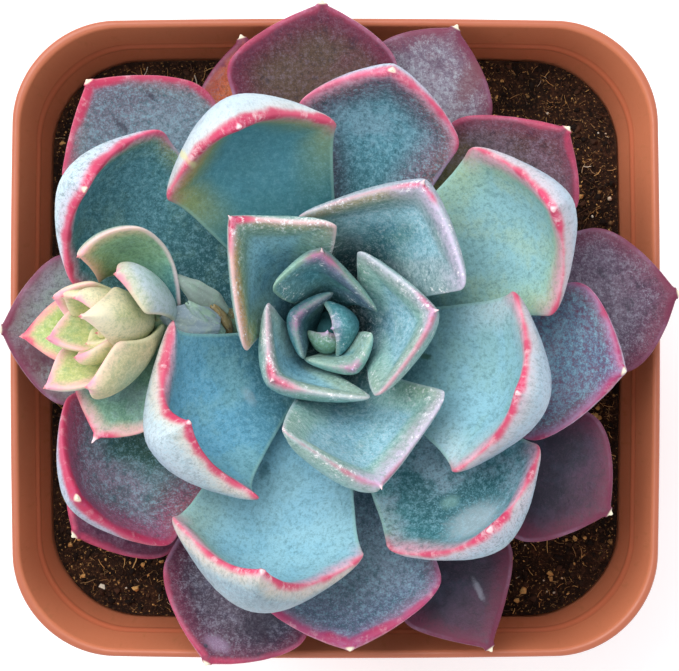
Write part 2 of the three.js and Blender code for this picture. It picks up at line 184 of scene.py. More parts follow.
class Finish:  # one material under construction
    def __init__(self, name):
        self.material = bpy.data.materials.new(name)
        self.material.use_nodes = True
        self.tree = self.material.node_tree
        self.shader = self.tree.nodes["Principled BSDF"]

    def node(self, kind, settings=None, sockets=None, out=0):
        made = self.tree.nodes.new(kind)
        for key, value in (settings or {}).items():
            setattr(made, key, value)
        for key, value in (sockets or {}).items():
            self.plug(made.inputs[key], value)
        return Wire(self, made.outputs[out])

    def plug(self, socket, value):
        if isinstance(value, Wire):
            self.tree.links.new(value.socket, socket)
        elif isinstance(value, str):
            socket.default_value = tint(value)
        else:
            socket.default_value = value

    def step(self, value, low, high):  # 0 at low and 1 at high, softly
        return self.node("ShaderNodeMapRange", {"interpolation_type": "SMOOTHSTEP"},
                         {0: value, 1: low, 2: high, 3: 0.0, 4: 1.0})

    def mix(self, first, second, share):
        return self.node("ShaderNodeMix", {"data_type": "RGBA"}, {0: share, 6: first, 7: second}, out=2)

    def coat(self, shade, share):  # one more layer of colour
        self.colour = self.mix(self.colour, shade, share)

    def cloud(self, place, size, detail, rough):  # noise with lumps of this size, in the place's units
        return self.node("ShaderNodeTexNoise", {},
                         {"Vector": place, "Scale": 1 / size, "Detail": detail, "Roughness": rough})

    def stretched(self, place, scale, location=(0, 0, 0)):
        return self.node("ShaderNodeMapping", {}, {"Vector": place, "Scale": scale, "Location": location})

    def place(self):
        return self.node("ShaderNodeTexCoord", {}, {}, out="Object")

    def attribute(self, name, out="Vector"):
        return self.node("ShaderNodeAttribute", {"attribute_name": name}, {}, out)

    def split(self, vector):
        parts = self.node("ShaderNodeSeparateXYZ", {}, {0: vector})
        outputs = parts.socket.node.outputs
        return [Wire(self, outputs[i]) for i in range(3)]

    def bump(self, height, distance, strength):
        return self.node("ShaderNodeBump", {}, {"Strength": strength, "Distance": distance, "Height": height})

    def close(self, **sockets):
        self.plug(self.shader.inputs["Base Color"], self.colour)
        for key, value in sockets.items():
            self.plug(self.shader.inputs[key.replace("_", " ")], value)
        return self.material


# Leaf shapes, in millimetres and degrees, the same rule as the solids follow

rosetteShape = {
    "axis": (-1.0, 1.2),
    "heartHeight": 92.0,
    "pitch": 0.6,
    "start": 258.0,
    "goldenAngle": 137.5,
    "footShare": 0.26,
    "upperShare": 0.32,
    "cupWidth": 5.0,
    "footRadius": [(0, 1.0), (4, 2.2), (10, 3.3), (33, 4.0)],
    "shoulder": [(16, 0.72), (19, 0.75), (21, 0.79)],
    "full": [(0, 1.25), (9, 1.3), (16, 1.5), (22, 1.9)],
    "wedge": [(3, 1.0), (4, 1.4), (9, 1.4), (11, 1.0), (20, 0.85), (33, 0.8)],
    "thick": [(0, 1.9), (3, 2.2), (6, 2.8), (9, 3.5), (12, 4.4), (17, 3.6), (33, 3.0)],
    "cup": [(0, 0), (3, 0.8), (4, 1.9), (9, 2.1), (10, 0.8), (20, 0.5), (33, 0.3)],
    "keel": [(9, 0.35), (12, 0.25), (17, 0.15)],
    "nose": [(3, 0.3), (9, 0.42), (13, 0.5), (19, 0.8), (33, 0.8)],
    "thorn": [(3, 0.5), (4, 0.8), (9, 0.8), (10, 0.35), (16, 0.35), (19, 0.6), (33, 0.7)],
}

# One row a leaf from the heart outwards: lean off the spiral, length, half width, rise at the foot
# and at the tip, where the bend starts, fold, softness of the fold, turn of the blade
# and, where the blade also leans to one side, its roll about the midrib
rosetteRows = [
    (7, 7.3, 2.7, 66, 132, 0.1, 40, 0.5, 0),
    (-22, 9.8, 3.9, 66, 128, 0.1, 42, 0.5, 0),
    (-15, 10.2, 5, 76, 68, 0.2, 38, 0.5, 6),
    (-8.5, 12.2, 5.3, 75, 60, 0.2, 34, 0.5, 24),
    (6, 17.8, 8, 69, 46, 0.4, 36, 0.4, 28),
    (-3, 17.9, 9, 69, 56, 0.4, 38, 0.4, 0),
    (7, 21.9, 10.2, 62, 44, 0.4, 40, 0.35, -12, -12),
    (-9.5, 27.2, 11, 57, 40, 0.4, 42, 0.35, -22),
    (11, 28.8, 12.2, 51, 44, 0.4, 40, 0.4, -18, -28),
    (1.5, 29.5, 12.2, 49, 44, 0.4, 38, 0.4, -16),
    (21, 37.4, 14.4, 34, 126, 0.5, 42, 0.6, 10, -6),
    (11, 38.2, 13, 31, 106, 0.5, 32, 0.6, 0),
    (5.5, 40.6, 13, 28, 104, 0.5, 30, 0.6, 0),
    (9.5, 49, 13.6, 26, 116, 0.5, 37, 0.6, -8),
    (5, 43.6, 12.7, 25, 94, 0.5, 28, 0.6, 3),
    (-10.5, 48, 12.2, 17, 104, 0.5, 28, 0.6, 0),
    (11, 44.5, 12.6, 22, 100, 0.5, 28, 0.6, 7),
    (0.5, 39.8, 11.4, 21, 70, 0.5, 24, 0.7, 0),
    (1, 46.2, 12.4, 13, 88, 0.55, 28, 0.7, 0),
    (1.5, 41.2, 11.4, 19, 46, 0.5, 22, 0.8, 10),
    (6, 46, 11.2, 13, 36, 0.5, 18, 0.8, 12),
    (8.5, 43.4, 12.4, 16, 42, 0.5, 20, 0.8, 0),
    (-3, 41.4, 11.4, 15, 30, 0.5, 18, 0.8, -14),
    (-0.5, 43, 10.6, 10, 30, 0.5, 22, 0.8, 0),
    (9, 44, 10.2, 13, 20, 0.5, 12, 0.8, 0),
    (-4.5, 43, 11.6, 13, 26, 0.5, 15, 0.8, 0),
    (17, 47.4, 10.4, 12, 34, 0.5, 22, 0.8, 8),
    (-4.5, 46.2, 10.4, 12, 20, 0.5, 12, 0.8, -6),
    (0, 38, 10, 11, 20, 0.5, 12, 0.8, 0),
    (11.5, 47, 9.4, 11, 18, 0.5, 12, 0.8, -8),
    (4, 43, 9.6, 12, 20, 0.5, 12, 0.8, 6),
    (18.5, 43.4, 10.5, 8, 34, 0.5, 18, 0.8, 0),
    (0, 35.5, 9.2, 8, 16, 0.5, 12, 0.8, 0),
    (-9, 39.5, 9, 9, 14, 0.5, 12, 0.8, 0),
]

# Leaves whose edges depart from the rule: how full towards the tip and how wide,
# first on the counter-clockwise side and then on the other, with the place of the shoulders as a fifth number
rosetteEdges = {
    4: (1, 1, 1, 1),
    5: (1.25, 1.2, 1, 0.92),
    6: (1, 0.92, 1.1, 1.12),
    7: (1.3, 1, 0.6, 1, 0.67),
    8: (0.9, 0.95, 1, 1.22, 0.78),
    9: (1.2, 1, 1.15, 1.06),
    10: (1, 0.95, 0.5, 0.95),
    11: (1.15, 1, 1.15, 1),
    12: (1.1, 1, 1, 0.95),
    13: (0.85, 0.95, 0.9, 1.02),
    14: (1.3, 1, 1.2, 1),
    15: (1.2, 1, 1.5, 1),
    16: (1.2, 1, 1.2, 1),
    20: (1.2, 1.15, 1.9, 1),
    21: (1.9, 1.07, 1.9, 1),
    22: (1.6, 1, 1.3, 0.86),
    25: (1.9, 1.16, 1.7, 0.9),
    26: (1.9, 1.15, 1.9, 1),
    29: (1.3, 1, 1.2, 1),
}

youngShape = {
    "foot": (-22.5, 1.2, 95.0),
    "rise": 40.0,
    "start": 342.5,
    "footShare": 0.35,
    "keel": 0.3,
    "shoulder": 0.68,
    "wedge": 0.8,
    "cup": 0.0,
    "nose": 0.35,
    "thorn": 0.5,
    "edges": (1.4, 1, 1.4, 1),
    "footRadius": [(0, 0.3), (5, 0.8), (15, 1.4)],
    "thick": [(0, 1.2), (5, 1.7), (15, 2.3)],
    "stalkRadius": 2.1,
    "stalkFoot": (0.0, 0.0, 78.0),
    "stalkBend": (-8.0, 0.4, 82.6),
}

# The same nine columns, then the roll about the midrib and the height on the side stem
youngRows = [
    (0, 5, 1.3, 85, 95, 0.1, 30, 0.5, 0, 0, 6),
    (0, 6, 1.8, 84, 95, 0.1, 35, 0.5, 0, 0, 5.6),
    (0, 7, 2, 80, 95, 0.1, 35, 0.5, 0, 0, 5.2),
    (0, 11, 3, 68, 84, 0.1, 35, 0.5, 0, 0, 4.8),
    (0, 9, 2.6, 74, 90, 0.1, 35, 0.5, 0, 0, 4.4),
    (15, 12.5, 3.2, 64, 80, 0.1, 38, 0.5, 0, 0, 4),
    (0, 12.5, 3.2, 66, 92, 0.1, 35, 0.5, 0, 0, 3.6),
    (0, 12.5, 3.2, 60, 84, 0.1, 35, 0.5, 0, 0, 3.2),
    (0, 13, 3.6, 58, 88, 0.1, 38, 0.5, 0, 10, 2.8),
    (0, 16, 4.8, 60, 88, 0.1, 35, 0.5, 0, 0, 2.4),
    (14, 16.5, 3.8, 50, 64, 0.1, 30, 0.5, 0, -20, 2),
    (0, 20, 5.9, 26, 112, 0.1, 25, 0.5, 0, 55, -1.8),
    (-15, 17.4, 5, 44, 78, 0.1, 30, 0.5, 0, 30, 1),
    (14, 18.4, 4.5, 46, 50, 0.1, 26, 0.5, 0, 0, 0),
    (4, 16, 4.4, 46, 78, 0.1, 30, 0.5, 0, 0, -1),
    (-4, 18, 7.4, 30, 34, 0.3, 22, 0.5, 0, -35, -1),
]

rowNames = ("lean", "length", "half", "rise0", "rise1", "bend", "fold", "soft", "yaw", "roll", "low")


def readRow(row):
    return dict(zip(rowNames, (*row, 0, 0)))


def rosetteLeaf(n):
    shape = rosetteShape
    leaf = readRow(rosetteRows[n])
    leaf["azimuth"] = shape["start"] + shape["goldenAngle"] * n + leaf["lean"]
    leaf["footHeight"] = shape["heartHeight"] - shape["pitch"] * n
    leaf["foot"] = shape["footShare"]
    for key in ("footRadius", "wedge", "thick", "cup", "keel", "nose", "thorn"):
        leaf[key] = between(shape[key], n)
    full, shoulder = between(shape["full"], n), between(shape["shoulder"], n)
    edges = rosetteEdges.get(n, (full, 1, full, 1))
    leaf["edges"] = edges[:4]
    leaf["shoulder"] = edges[4] if len(edges) > 4 else shoulder
    return leaf


# Finer than the solid: a slim outer scale, the small heart leaves leaning out and one long dried tip
youngOwn = {
    0: {"lean": 110, "rise0": 66, "rise1": 84},
    2: {"rise0": 56, "rise1": 76},
    4: {"lean": -34, "rise0": 58, "rise1": 74},
    9: {"half": 4.3, "shoulder": 0.45, "edges": (1.15, 1, 1.15, 1), "keel": 0.6},
    15: {"thorn": 1.1, "nose": 0.5},
}


def youngLeaf(k):
    shape = youngShape
    leaf = {**readRow(youngRows[k]), **youngOwn.get(k, {})}
    leaf["azimuth"] = shape["start"] - rosetteShape["goldenAngle"] * k + leaf["lean"]
    leaf["footHeight"] = leaf["low"]
    leaf["foot"] = shape["footShare"]
    for key in ("keel", "shoulder", "wedge", "cup", "nose", "thorn", "edges"):
        leaf.setdefault(key, shape[key])
    for key in ("footRadius", "thick"):
        leaf[key] = between(shape[key], k)
    return leaf


def sharpHalf(leaf, s, side):  # from midrib to edge on one side, with the corners of the rule
    full, wide = leaf["edges"][:2] if side > 0 else leaf["edges"][2:]
    if s < leaf["shoulder"]:
        share = leaf["foot"] + (1 - leaf["foot"]) * (s / leaf["shoulder"]) ** leaf["wedge"]
    else:
        share = max(1 - ((s - leaf["shoulder"]) / (1 - leaf["shoulder"])) ** full, 0) ** 0.95
    return leaf["half"] * wide * share


def halfWidth(leaf, s, side):  # the same with its corners rounded off and a nose at the tip
    reach = leafSkin["cornerReach"] * ease((1 - s) / 0.1) * ease(s / 0.1)
    mean = sum(sharpHalf(leaf, s + k * reach, side) for k in (-1, -0.5, 0, 0.5, 1)) / 5
    return (mean ** 4 + leaf["nose"] ** 4) ** 0.25


def midrib(leaf, steps=120):
    r, z, rise = leaf["footRadius"], leaf["footHeight"], math.radians(leaf["rise0"])
    path = [(r, z, rise)]
    length = leaf["length"] + 0.3 - leaf["thorn"]
    for i in range(1, steps + 1):
        bend = ease((i / steps - leaf["bend"]) / (1 - leaf["bend"]))
        new = math.radians(leaf["rise0"] + (leaf["rise1"] - leaf["rise0"]) * bend)
        mean = (rise + new) / 2
        r += length / steps * math.cos(mean)
        z += length / steps * math.sin(mean)
        rise = new
        path.append((r, z, rise))
    return path


def leafSection(leaf, path, s):
    place = clamp(s) * (len(path) - 1)
    low = min(int(place), len(path) - 2)
    r, z, rise = (a + (b - a) * (place - low) for a, b in zip(path[low], path[low + 1]))
    phi = math.radians(leaf["azimuth"])
    outward = Vector((math.cos(phi), math.sin(phi), 0))
    side = Vector((-math.sin(phi), math.cos(phi), 0))
    up = Vector((0, 0, 1))
    normal = up * math.cos(rise) - outward * math.sin(rise)
    forward = outward * math.cos(rise) + up * math.sin(rise)
    turn = Matrix.Rotation(-math.radians(leaf["yaw"]) * ease(1.3 * s), 3, normal)
    roll = Matrix.Rotation(math.radians(leaf["roll"]) * s, 3, forward)
    past = clamp((s - leaf["shoulder"]) / (1 - leaf["shoulder"]))
    body = 0.5 + 0.5 * math.sin(0.8 * math.pi * s ** 0.8)
    return {
        "s": s,
        "centre": outward * r + up * z,
        "forward": forward,
        "across": roll @ (turn @ side),
        "face": roll @ normal,
        "slope": math.tan(math.radians(leaf["fold"])) * (0.35 + 0.65 * ease(s / leaf["shoulder"])),
        "halves": (halfWidth(leaf, s, 1), halfWidth(leaf, s, -1)),
        "soft": leaf["soft"] * leaf["half"],
        "thick": leaf["thick"] * body * math.sqrt(max(1 - past ** 3, 0.02)) + 0.8 * leaf["nose"] * past ** 4,
    }


def onSection(leaf, section, angle):
    q, lift = math.cos(angle), math.sin(angle)
    half = section["halves"][0 if q > 0 else 1]
    x = half * q
    root = math.hypot(x, section["soft"])
    tilt = math.atan(section["slope"] * x / root)
    keel = 1 + leaf["keel"] * ease(1.4 * section["s"] - 0.4) * (1 - q * q) ** 3.5
    upper = rosetteShape["upperShare"]
    share = upper if lift > 0 else (1 - upper) * keel
    out = math.copysign(abs(lift) ** leafSkin["roundness"], lift) * share * section["thick"]
    return (section["centre"]
            + section["across"] * (x - out * math.sin(tilt))
            + section["face"] * (section["slope"] * (root - section["soft"]) + out * math.cos(tilt)))


leafSkin = {
    "faces": (64, 84),
    "smallFaces": (40, 40),
    "thornRows": 6,
    "cornerReach": 0.035,
    "roundness": 1.1,
    "swell": 0.16,
    "swellSize": 7.0,
    "ripple": 0.04,
    "rippleSize": 1.6,
}


def rimTree(leaf, path):  # finds how far a point is from the leaf's edge
    steps = 200
    tree = kdtree.KDTree(2 * steps + 2)
    for i in range(steps + 1):
        section = leafSection(leaf, path, i / steps)
        tree.insert(onSection(leaf, section, 0), 2 * i)
        tree.insert(onSection(leaf, section, math.pi), 2 * i + 1)
    tree.balance()
    return tree


def makeLeaf(name, leaf, small, place, seed):
    around, lengthwise = leafSkin["smallFaces" if small else "faces"]
    piece = addPrimitive(bpy.ops.mesh.primitive_uv_sphere_add, name,
                         segments=around, ring_count=lengthwise, radius=1)
    path = midrib(leaf)
    thornRows = leafSkin["thornRows"]
    bladeRows = lengthwise - thornRows
    sections = [leafSection(leaf, path, 1 - (1 - i / bladeRows) ** 1.25) for i in range(bladeRows + 1)]
    end = sections[-1]
    tree = rimTree(leaf, path)
    shape, skin, points = [], [], []
    for vertex in piece.data.vertices:
        x, y, z = vertex.co
        row = round(math.acos(clamp(-z, -1, 1)) / math.pi * lengthwise)
        angle = math.atan2(y, x)
        past = max(row - bladeRows, 0) / thornRows
        section = sections[min(row, bladeRows)]
        point = section["centre"] if row == 0 else onSection(leaf, section, angle)
        if past > 0:
            slim = (1 - past) ** 0.6 * (1 - 0.45 * ease(2.5 * past))
            point = end["centre"] + (point - end["centre"]) * slim + end["forward"] * leaf["thorn"] * past
        rim = tree.find(point)[2]
        point = point - section["face"] * leaf["cup"] * ease(rim / rosetteShape["cupWidth"])
        half = section["halves"][0 if math.cos(angle) > 0 else 1]
        shape.append((section["s"] + 0.1 * past, rim, clamp(0.5 + 4 * math.sin(angle))))
        skin.append((half * math.cos(angle), section["s"] * leaf["length"], seed))
        points.append(point)
    for vertex, point in zip(piece.data.vertices, points):
        vertex.co = point
    piece.data.update()
    normals = [vertex.normal.copy() for vertex in piece.data.vertices]
    for vertex, point, normal, (_, rim, _) in zip(piece.data.vertices, points, normals, shape):
        shift = Vector((seed, 0, 0))
        lump = noise.noise(point / leafSkin["swellSize"] + shift) * leafSkin["swell"] * ease(rim / 3.0)
        lump += noise.noise(point / leafSkin["rippleSize"] + shift) * leafSkin["ripple"]
        vertex.co = place @ (point + normal * lump) * mm
    for key, values in (("shape", shape), ("skin", skin)):
        layer = piece.data.attributes.new(key, "FLOAT_VECTOR", "POINT")
        layer.data.foreach_set("vector", [number for value in values for number in value])
    settle(piece)
    return piece


# Leaf finishes: colours from the palette, widths in millimetres, amounts from 0 to 1.
# Sides are (counter-clockwise, tip, clockwise) as seen from above. A mark is its place across
# and along the leaf, its half width and half length, its colour and its amount.

plainLook = {
    "foot": "deepTeal", "footTo": 0.45, "blade": "teal", "centre": "lake", "centreMuch": 0.6,
    "tone": "sage", "toneMuch": 0.3, "band": "mint", "bandWide": 2.2, "bandSides": (0, 0, 0), "crease": 0,
    "flush": "moss", "flushWide": 3, "flushSides": (0, 0, 0), "warm": 0.3, "shade": "violet",
    "shadeMuch": 0, "shadeWide": 2.4, "rose": "rose", "deep": "carmine", "roseWide": -0.15,
    "roseSides": (0.9, 1, 0.9), "paintedGlint": 0.5, "halo": "blush", "haloMuch": 0.7, "haloWide": 2.2,
    "haloSides": (1, 1, 1), "line": "lilac", "lineMuch": 0.5, "back": "cloud", "backShade": "cloud",
    "backTint": "linen", "backFlush": 0.2, "wine": "wine", "wineMuch": 0, "wineFrom": 0.5, "wineWide": 4,
    "grain": 0.35, "light": "ice", "dark": "deepTeal", "pits": 0.2, "flecks": 0.05, "gems": 0, "gemWide": 2,
    "thornTint": "petal", "tipWide": 6, "rough": 0.48, "relief": 0.35, "marks": (),
}

heart = {
    "foot": "abyss", "footTo": 0.25, "blade": "deepTeal", "centre": "teal", "band": "sage",
    "bandSides": (0.6, 0.5, 0.6), "rose": "orchid", "roseWide": -0.4, "roseSides": (0, 0.3, 0),
    "halo": "lilac", "haloWide": 2, "haloSides": (0, 0.1, 0), "line": "mist", "lineMuch": 0.35,
    "back": "teal", "backShade": "deepTeal", "backFlush": 0, "gems": 0.6, "thornTint": "lilac",
    "tipWide": 2, "relief": 0.5,
}
inner = {
    "foot": "abyss", "footTo": 0.4, "blade": "lake", "bandWide": 4.6, "bandSides": (0.8, 0.9, 0.8),
    "crease": 0.8, "flushWide": 3.4, "flushSides": (0.2, 0, 0), "warm": 0.1, "roseWide": -0.35,
    "roseSides": (0, 0.3, 0), "paintedGlint": 0.6, "halo": "lilac", "haloWide": 3.2, "haloSides": (0, 1, 0.2),
    "line": "pearl", "back": "mint", "backShade": "leek", "backTint": "mist", "backFlush": 0.3,
    "grain": 0.4, "flecks": 0.15, "gems": 0.9, "gemWide": 3.6, "tipWide": 4.4, "relief": 0.6,
}
frosty = {
    "footTo": 0.34, "blade": "ice", "centre": "ice", "flush": "lime", "flushSides": (0.1, 0, 0.1),
    "shadeMuch": 0.3, "paintedGlint": 0.75, "line": "mint",
}
turning = {
    "tone": "cloud", "toneMuch": 0.35, "flushSides": (0.2, 0, 0.2), "shadeMuch": 0.3, "roseWide": 0.4,
    "paintedGlint": 0.35, "backShade": "haze", "backTint": "lilac", "wineMuch": 0.9, "grain": 0.55, "pits": 0.4,
    "flecks": 0.15, "thornTint": "ivory", "relief": 0.5,
}
ripe = {
    "foot": "olive", "blade": "plum", "centre": "dusk", "centreMuch": 0.4, "tone": "stone",
    "rose": "claret", "deep": "wine", "roseWide": 0, "roseSides": (0.8, 0.9, 0.8), "paintedGlint": 0,
    "halo": "claret", "haloMuch": 0.65, "haloWide": 3.2, "lineMuch": 0.6, "back": "stone",
    "backShade": "plum", "backFlush": 0, "wineMuch": 0.6, "wineFrom": 0.8, "wineWide": 5, "grain": 0.4,
    "light": "stone", "dark": "night", "pits": 0.6, "flecks": 0.2, "thornTint": "ivory", "relief": 0.6,
}

leafLooks = [
    (heart, {"back": "leek"}),
    (heart, {"roseSides": (0, 0, 0), "haloSides": (0, 0.9, 0.1)}),
    (heart, {"band": "slate", "bandSides": (0.3, 0.7, 0.3), "halo": "mauve", "haloSides": (0.1, 0.6, 0.3)}),
    (heart, {"blade": "teal", "centre": "lake", "band": "mist", "bandWide": 3, "bandSides": (0.8, 0.9, 0.8),
        "halo": "orchid", "haloSides": (0, 0.4, 0), "back": "mint"}),
    (inner, {"blade": "teal", "centre": "pool", "band": "slate", "bandWide": 3.4,
        "bandSides": (0.2, 0.5, 0.8), "crease": 0, "flush": "leek", "halo": "mauve", "line": "sage"}),
    (inner, {"band": "mist", "bandWide": 3.8, "bandSides": (1, 0.6, 0.5), "flush": "mist",
        "flushSides": (0.5, 0.3, 0.5), "roseSides": (0.1, 0.8, 0.1), "halo": "blush", "haloWide": 2.2,
        "haloSides": (0.1, 1, 0.6)}),
    (inner, {"centre": "ice", "flushSides": (0.3, 0.2, 0.4), "roseSides": (0, 0.6, 0.5),
        "haloSides": (0.5, 1, 0.2), "light": "pearl"}),
    (inner, {"footTo": 0.3, "band": "sage", "bandSides": (0.5, 0.4, 0.6), "crease": 0.5, "flushWide": 4.2,
        "flushSides": (1, 0.3, 0.4), "warm": 0.9, "roseSides": (0, 1, 0.15), "halo": "blush",
        "haloWide": 1.6, "haloSides": (0.25, 1, 0.4), "line": "petal"}),
    (inner, {"foot": "deepTeal", "centre": "ice", "bandWide": 4.4, "crease": 1,
        "flushSides": (0.5, 0.2, 0.3), "roseSides": (0, 0.6, 0.9), "haloWide": 3.6,
        "haloSides": (0.9, 1, 0.1), "backShade": "cloud", "backFlush": 0.6, "light": "pearl",
        "tipWide": 8}),
    (inner, {"footTo": 0.5, "blade": "teal", "band": "pearl", "bandWide": 5.2, "bandSides": (0.2, 0.7, 0.4),
        "flushSides": (0.9, 0.2, 0.1), "warm": 0.4, "roseSides": (0.3, 0.9, 0), "haloWide": 3.6,
        "haloSides": (0.3, 1, 0.9), "back": "cloud", "backShade": "cloud", "light": "pearl", "gems": 1}),
    (frosty, {"blade": "sky", "centre": "sky", "shade": "stone", "shadeMuch": 0.9, "shadeWide": 3.2,
        "roseWide": 0.1, "paintedGlint": 0.8, "back": "pearl", "backFlush": 0.5,
        "marks": ((1.6, 13, 1.6, 0.9, "pearl", 0.25),)}),
    (frosty, {"flush": "frost", "flushWide": 5, "flushSides": (0.9, 0.7, 0.7),
        "marks": ((0.8, 12.4, 0.5, 1.1, "fen", 0.8),)}),
    (frosty, {"blade": "teal", "centre": "sky", "centreMuch": 0.35, "tone": "teal", "flush": "moss",
        "flushWide": 6, "flushSides": (1, 0.6, 0.6), "warm": 0.9, "roseWide": 0.15, "haloMuch": 0.4,
        "back": "pearl", "grain": 0.2, "marks": ((7.8, 33.2, 0.5, 1.5, "butter", 0.7),)}),
    (frosty, {"tone": "sky", "flush": "mist", "flushWide": 6, "flushSides": (0.1, 0.4, 1), "warm": 0.4,
        "back": "haze", "backShade": "haze", "backFlush": 0.5,
        "marks": ((-3.6, 19.4, 0.8, 1.5, "deepTeal", 0.6), (-5.2, 18, 0.5, 0.8, "deepTeal", 0.5))}),
    (frosty, {"blade": "mint", "tone": "lime", "flushWide": 4.5, "flushSides": (0.5, 0.5, 0.7),
        "haloWide": 3.4}),
    (turning, {"centreMuch": 0.4, "tone": "sage", "flushSides": (0.1, 0.1, 0.9), "roseWide": 0.15,
        "back": "pearl", "backShade": "frost", "wineMuch": 0.1}),
    (frosty, {"blade": "teal", "centre": "deepTeal", "tone": "cloud", "toneMuch": 0.6,
        "flushSides": (0, 0, 0.3), "haloWide": 3.4, "backShade": "haze", "grain": 0.6, "flecks": 0.3,
        "marks": ((-1, 34, 4.5, 4, "pearl", 0.5), (-2, 28, 1.4, 1.2, "mint", 0.4))}),
    (turning, {"roseWide": 0, "roseSides": (0.6, 0.8, 0.9), "wine": "berry", "wineFrom": 0.85,
        "wineWide": 7.5}),
    (turning, {"foot": "fen", "footTo": 0.72, "blade": "deepTeal", "centre": "haze", "rose": "carmine",
        "halo": "magenta", "haloWide": 5, "backShade": "pearl", "wine": "magenta", "wineFrom": 0.6,
        "wineWide": 8.5}),
    (turning, {"blade": "slate", "rose": "magenta", "roseWide": -0.15, "halo": "mauve", "wine": "violet",
        "wineMuch": 0.5, "dark": "wine"}),
    (turning, {"blade": "haze", "centre": "haze", "tone": "haze", "rose": "carmine", "roseWide": 0.3,
        "halo": "carmine", "haloMuch": 0.5, "wineMuch": 0.6,
        "marks": ((1, 38, 0.5, 1.6, "dusk", 0.6), (-5, 39.4, 0.4, 1.2, "dusk", 0.6))}),
    (turning, {"blade": "slate", "centre": "haze", "rose": "magenta", "halo": "mauve", "haloWide": 3,
        "wine": "violet", "wineMuch": 0.7, "wineFrom": 0.6}),
    (ripe, {"foot": "moss", "footTo": 0.65, "blade": "bark", "rose": "carmine"}),
    (ripe, {"blade": "grey", "centre": "stone", "tone": "silver", "toneMuch": 0.6, "wine": "claret",
        "wineMuch": 0.4, "wineWide": 3, "grain": 0.5, "light": "silver", "dark": "plum",
        "marks": ((2.6, 37, 4, 4.4, "claret", 0.7),)}),
    (ripe, {"blade": "night", "centre": "night", "tone": "slate", "toneMuch": 0.2, "light": "plum"}),
    (ripe, {"footTo": 0.55, "blade": "bark", "centre": "olive", "tone": "rust", "rose": "carmine",
        "roseSides": (0.9, 0.5, 0.3), "wine": "claret", "wineMuch": 0.8, "light": "ash"}),
    (ripe, {"blade": "dusk", "centre": "ash", "tone": "slate", "rose": "carmine", "light": "silver",
        "marks": ((-0.9, 45.5, 0.3, 0.3, "ink", 0.9), (0.5, 44.4, 2, 1.2, "lilac", 0.3),
                  (5.5, 38, 3.4, 6, "night", 0.6))}),
    (ripe, {"centre": "ash", "light": "silver"}),
    (ripe, {}),
    (ripe, {"blade": "night", "centre": "night", "tone": "slate", "toneMuch": 0.2, "light": "plum",
        "marks": ((2.3, 39.4, 0.5, 1.7, "silver", 0.5),)}),
    (ripe, {"blade": "ash", "centre": "silver", "tone": "russet", "wineMuch": 0.5, "wineFrom": 0.9,
        "wineWide": 3, "light": "pearl", "dark": "plum",
        "marks": ((-4.8, 38, 1.6, 4.2, "rust", 0.6), (0.4, 37.4, 1.3, 1.2, "plum", 0.5))}),
    (ripe, {"rose": "carmine"}),
    (ripe, {}),
    (ripe, {"foot": "straw", "blade": "ember", "centre": "ember", "tone": "straw", "wineMuch": 0.1}),
]

youngBase = {
    "foot": "leek", "footTo": 0.2, "blade": "pear", "centre": "pear", "centreMuch": 0.4, "tone": "fern",
    "toneMuch": 0.45, "flush": "butter", "flushWide": 1.8, "flushSides": (0.5, 0.3, 0.5), "warm": 0.2,
    "rose": "blush", "deep": "rose", "roseWide": -0.3, "roseSides": (0.1, 0.8, 0.1), "paintedGlint": 0.3,
    "haloMuch": 0.6, "haloWide": 1.5, "line": "linen", "lineMuch": 0.6, "back": "butter",
    "backShade": "pear", "light": "linen", "dark": "leek", "thornTint": "coral", "tipWide": 2.2,
}

youngBud = {"roseSides": (0, 0.3, 0), "halo": "linen"}
youngLooks = 5 * [youngBud] + [
    {"back": "pear", "backShade": "fern"},
    {"back": "linen"},
    {},
    {"blade": "khaki", "back": "linen", "backShade": "khaki"},
    {"tone": "verdant", "flush": "linen", "roseSides": (0, 0.4, 0), "haloMuch": 0.3, "back": "linen",
     "backShade": "verdant", "light": "ivory", "marks": ((0, 14.4, 2, 2.4, "ivory", 0.6),)},
    {"roseSides": (0, 0.9, 0.4), "back": "mint", "backShade": "linen"},
    {"foot": "teal", "footTo": 0.35, "blade": "fern", "centre": "leek", "tone": "sage", "flush": "moss",
     "flushWide": 4.2, "flushSides": (0.9, 0.6, 0.3), "halo": "peachy", "haloMuch": 0.85, "haloWide": 2.6,
     "haloSides": (1, 1, 0.6), "line": "petal", "back": "mint", "backShade": "fern", "light": "mint",
     "dark": "deepTeal"},
    {"haloWide": 2.2, "haloSides": (1, 1, 0.1), "back": "khaki", "backShade": "sage"},
    {"blade": "verdant", "centre": "verdant", "tone": "lime", "rose": "rose", "roseSides": (0.4, 1, 0.6),
     "halo": "coral", "haloMuch": 0.9, "haloWide": 1.8, "back": "linen"},
    {"blade": "sage", "haloSides": (0.6, 1, 0.2), "back": "pearl", "backShade": "mint",
     "backTint": "butter", "backFlush": 0.6, "light": "pearl", "tipWide": 3},
    {"blade": "leek", "centre": "teal", "tone": "haze", "rose": "rose", "roseSides": (0.3, 1, 0.8),
     "haloWide": 2.2, "back": "linen", "light": "mint", "dark": "deepTeal", "thornTint": "petal",
     "tipWide": 4},
]


leafNoise = {  # sizes of the lumps, in millimetres, and the depth of the relief
    "grit": 0.24,
    "fine": 0.7,
    "brush": 0.4,
    "mottle": 6.0,
    "patch": 1.8,
    "wave": 4.2,
    "bump": 0.25,
}


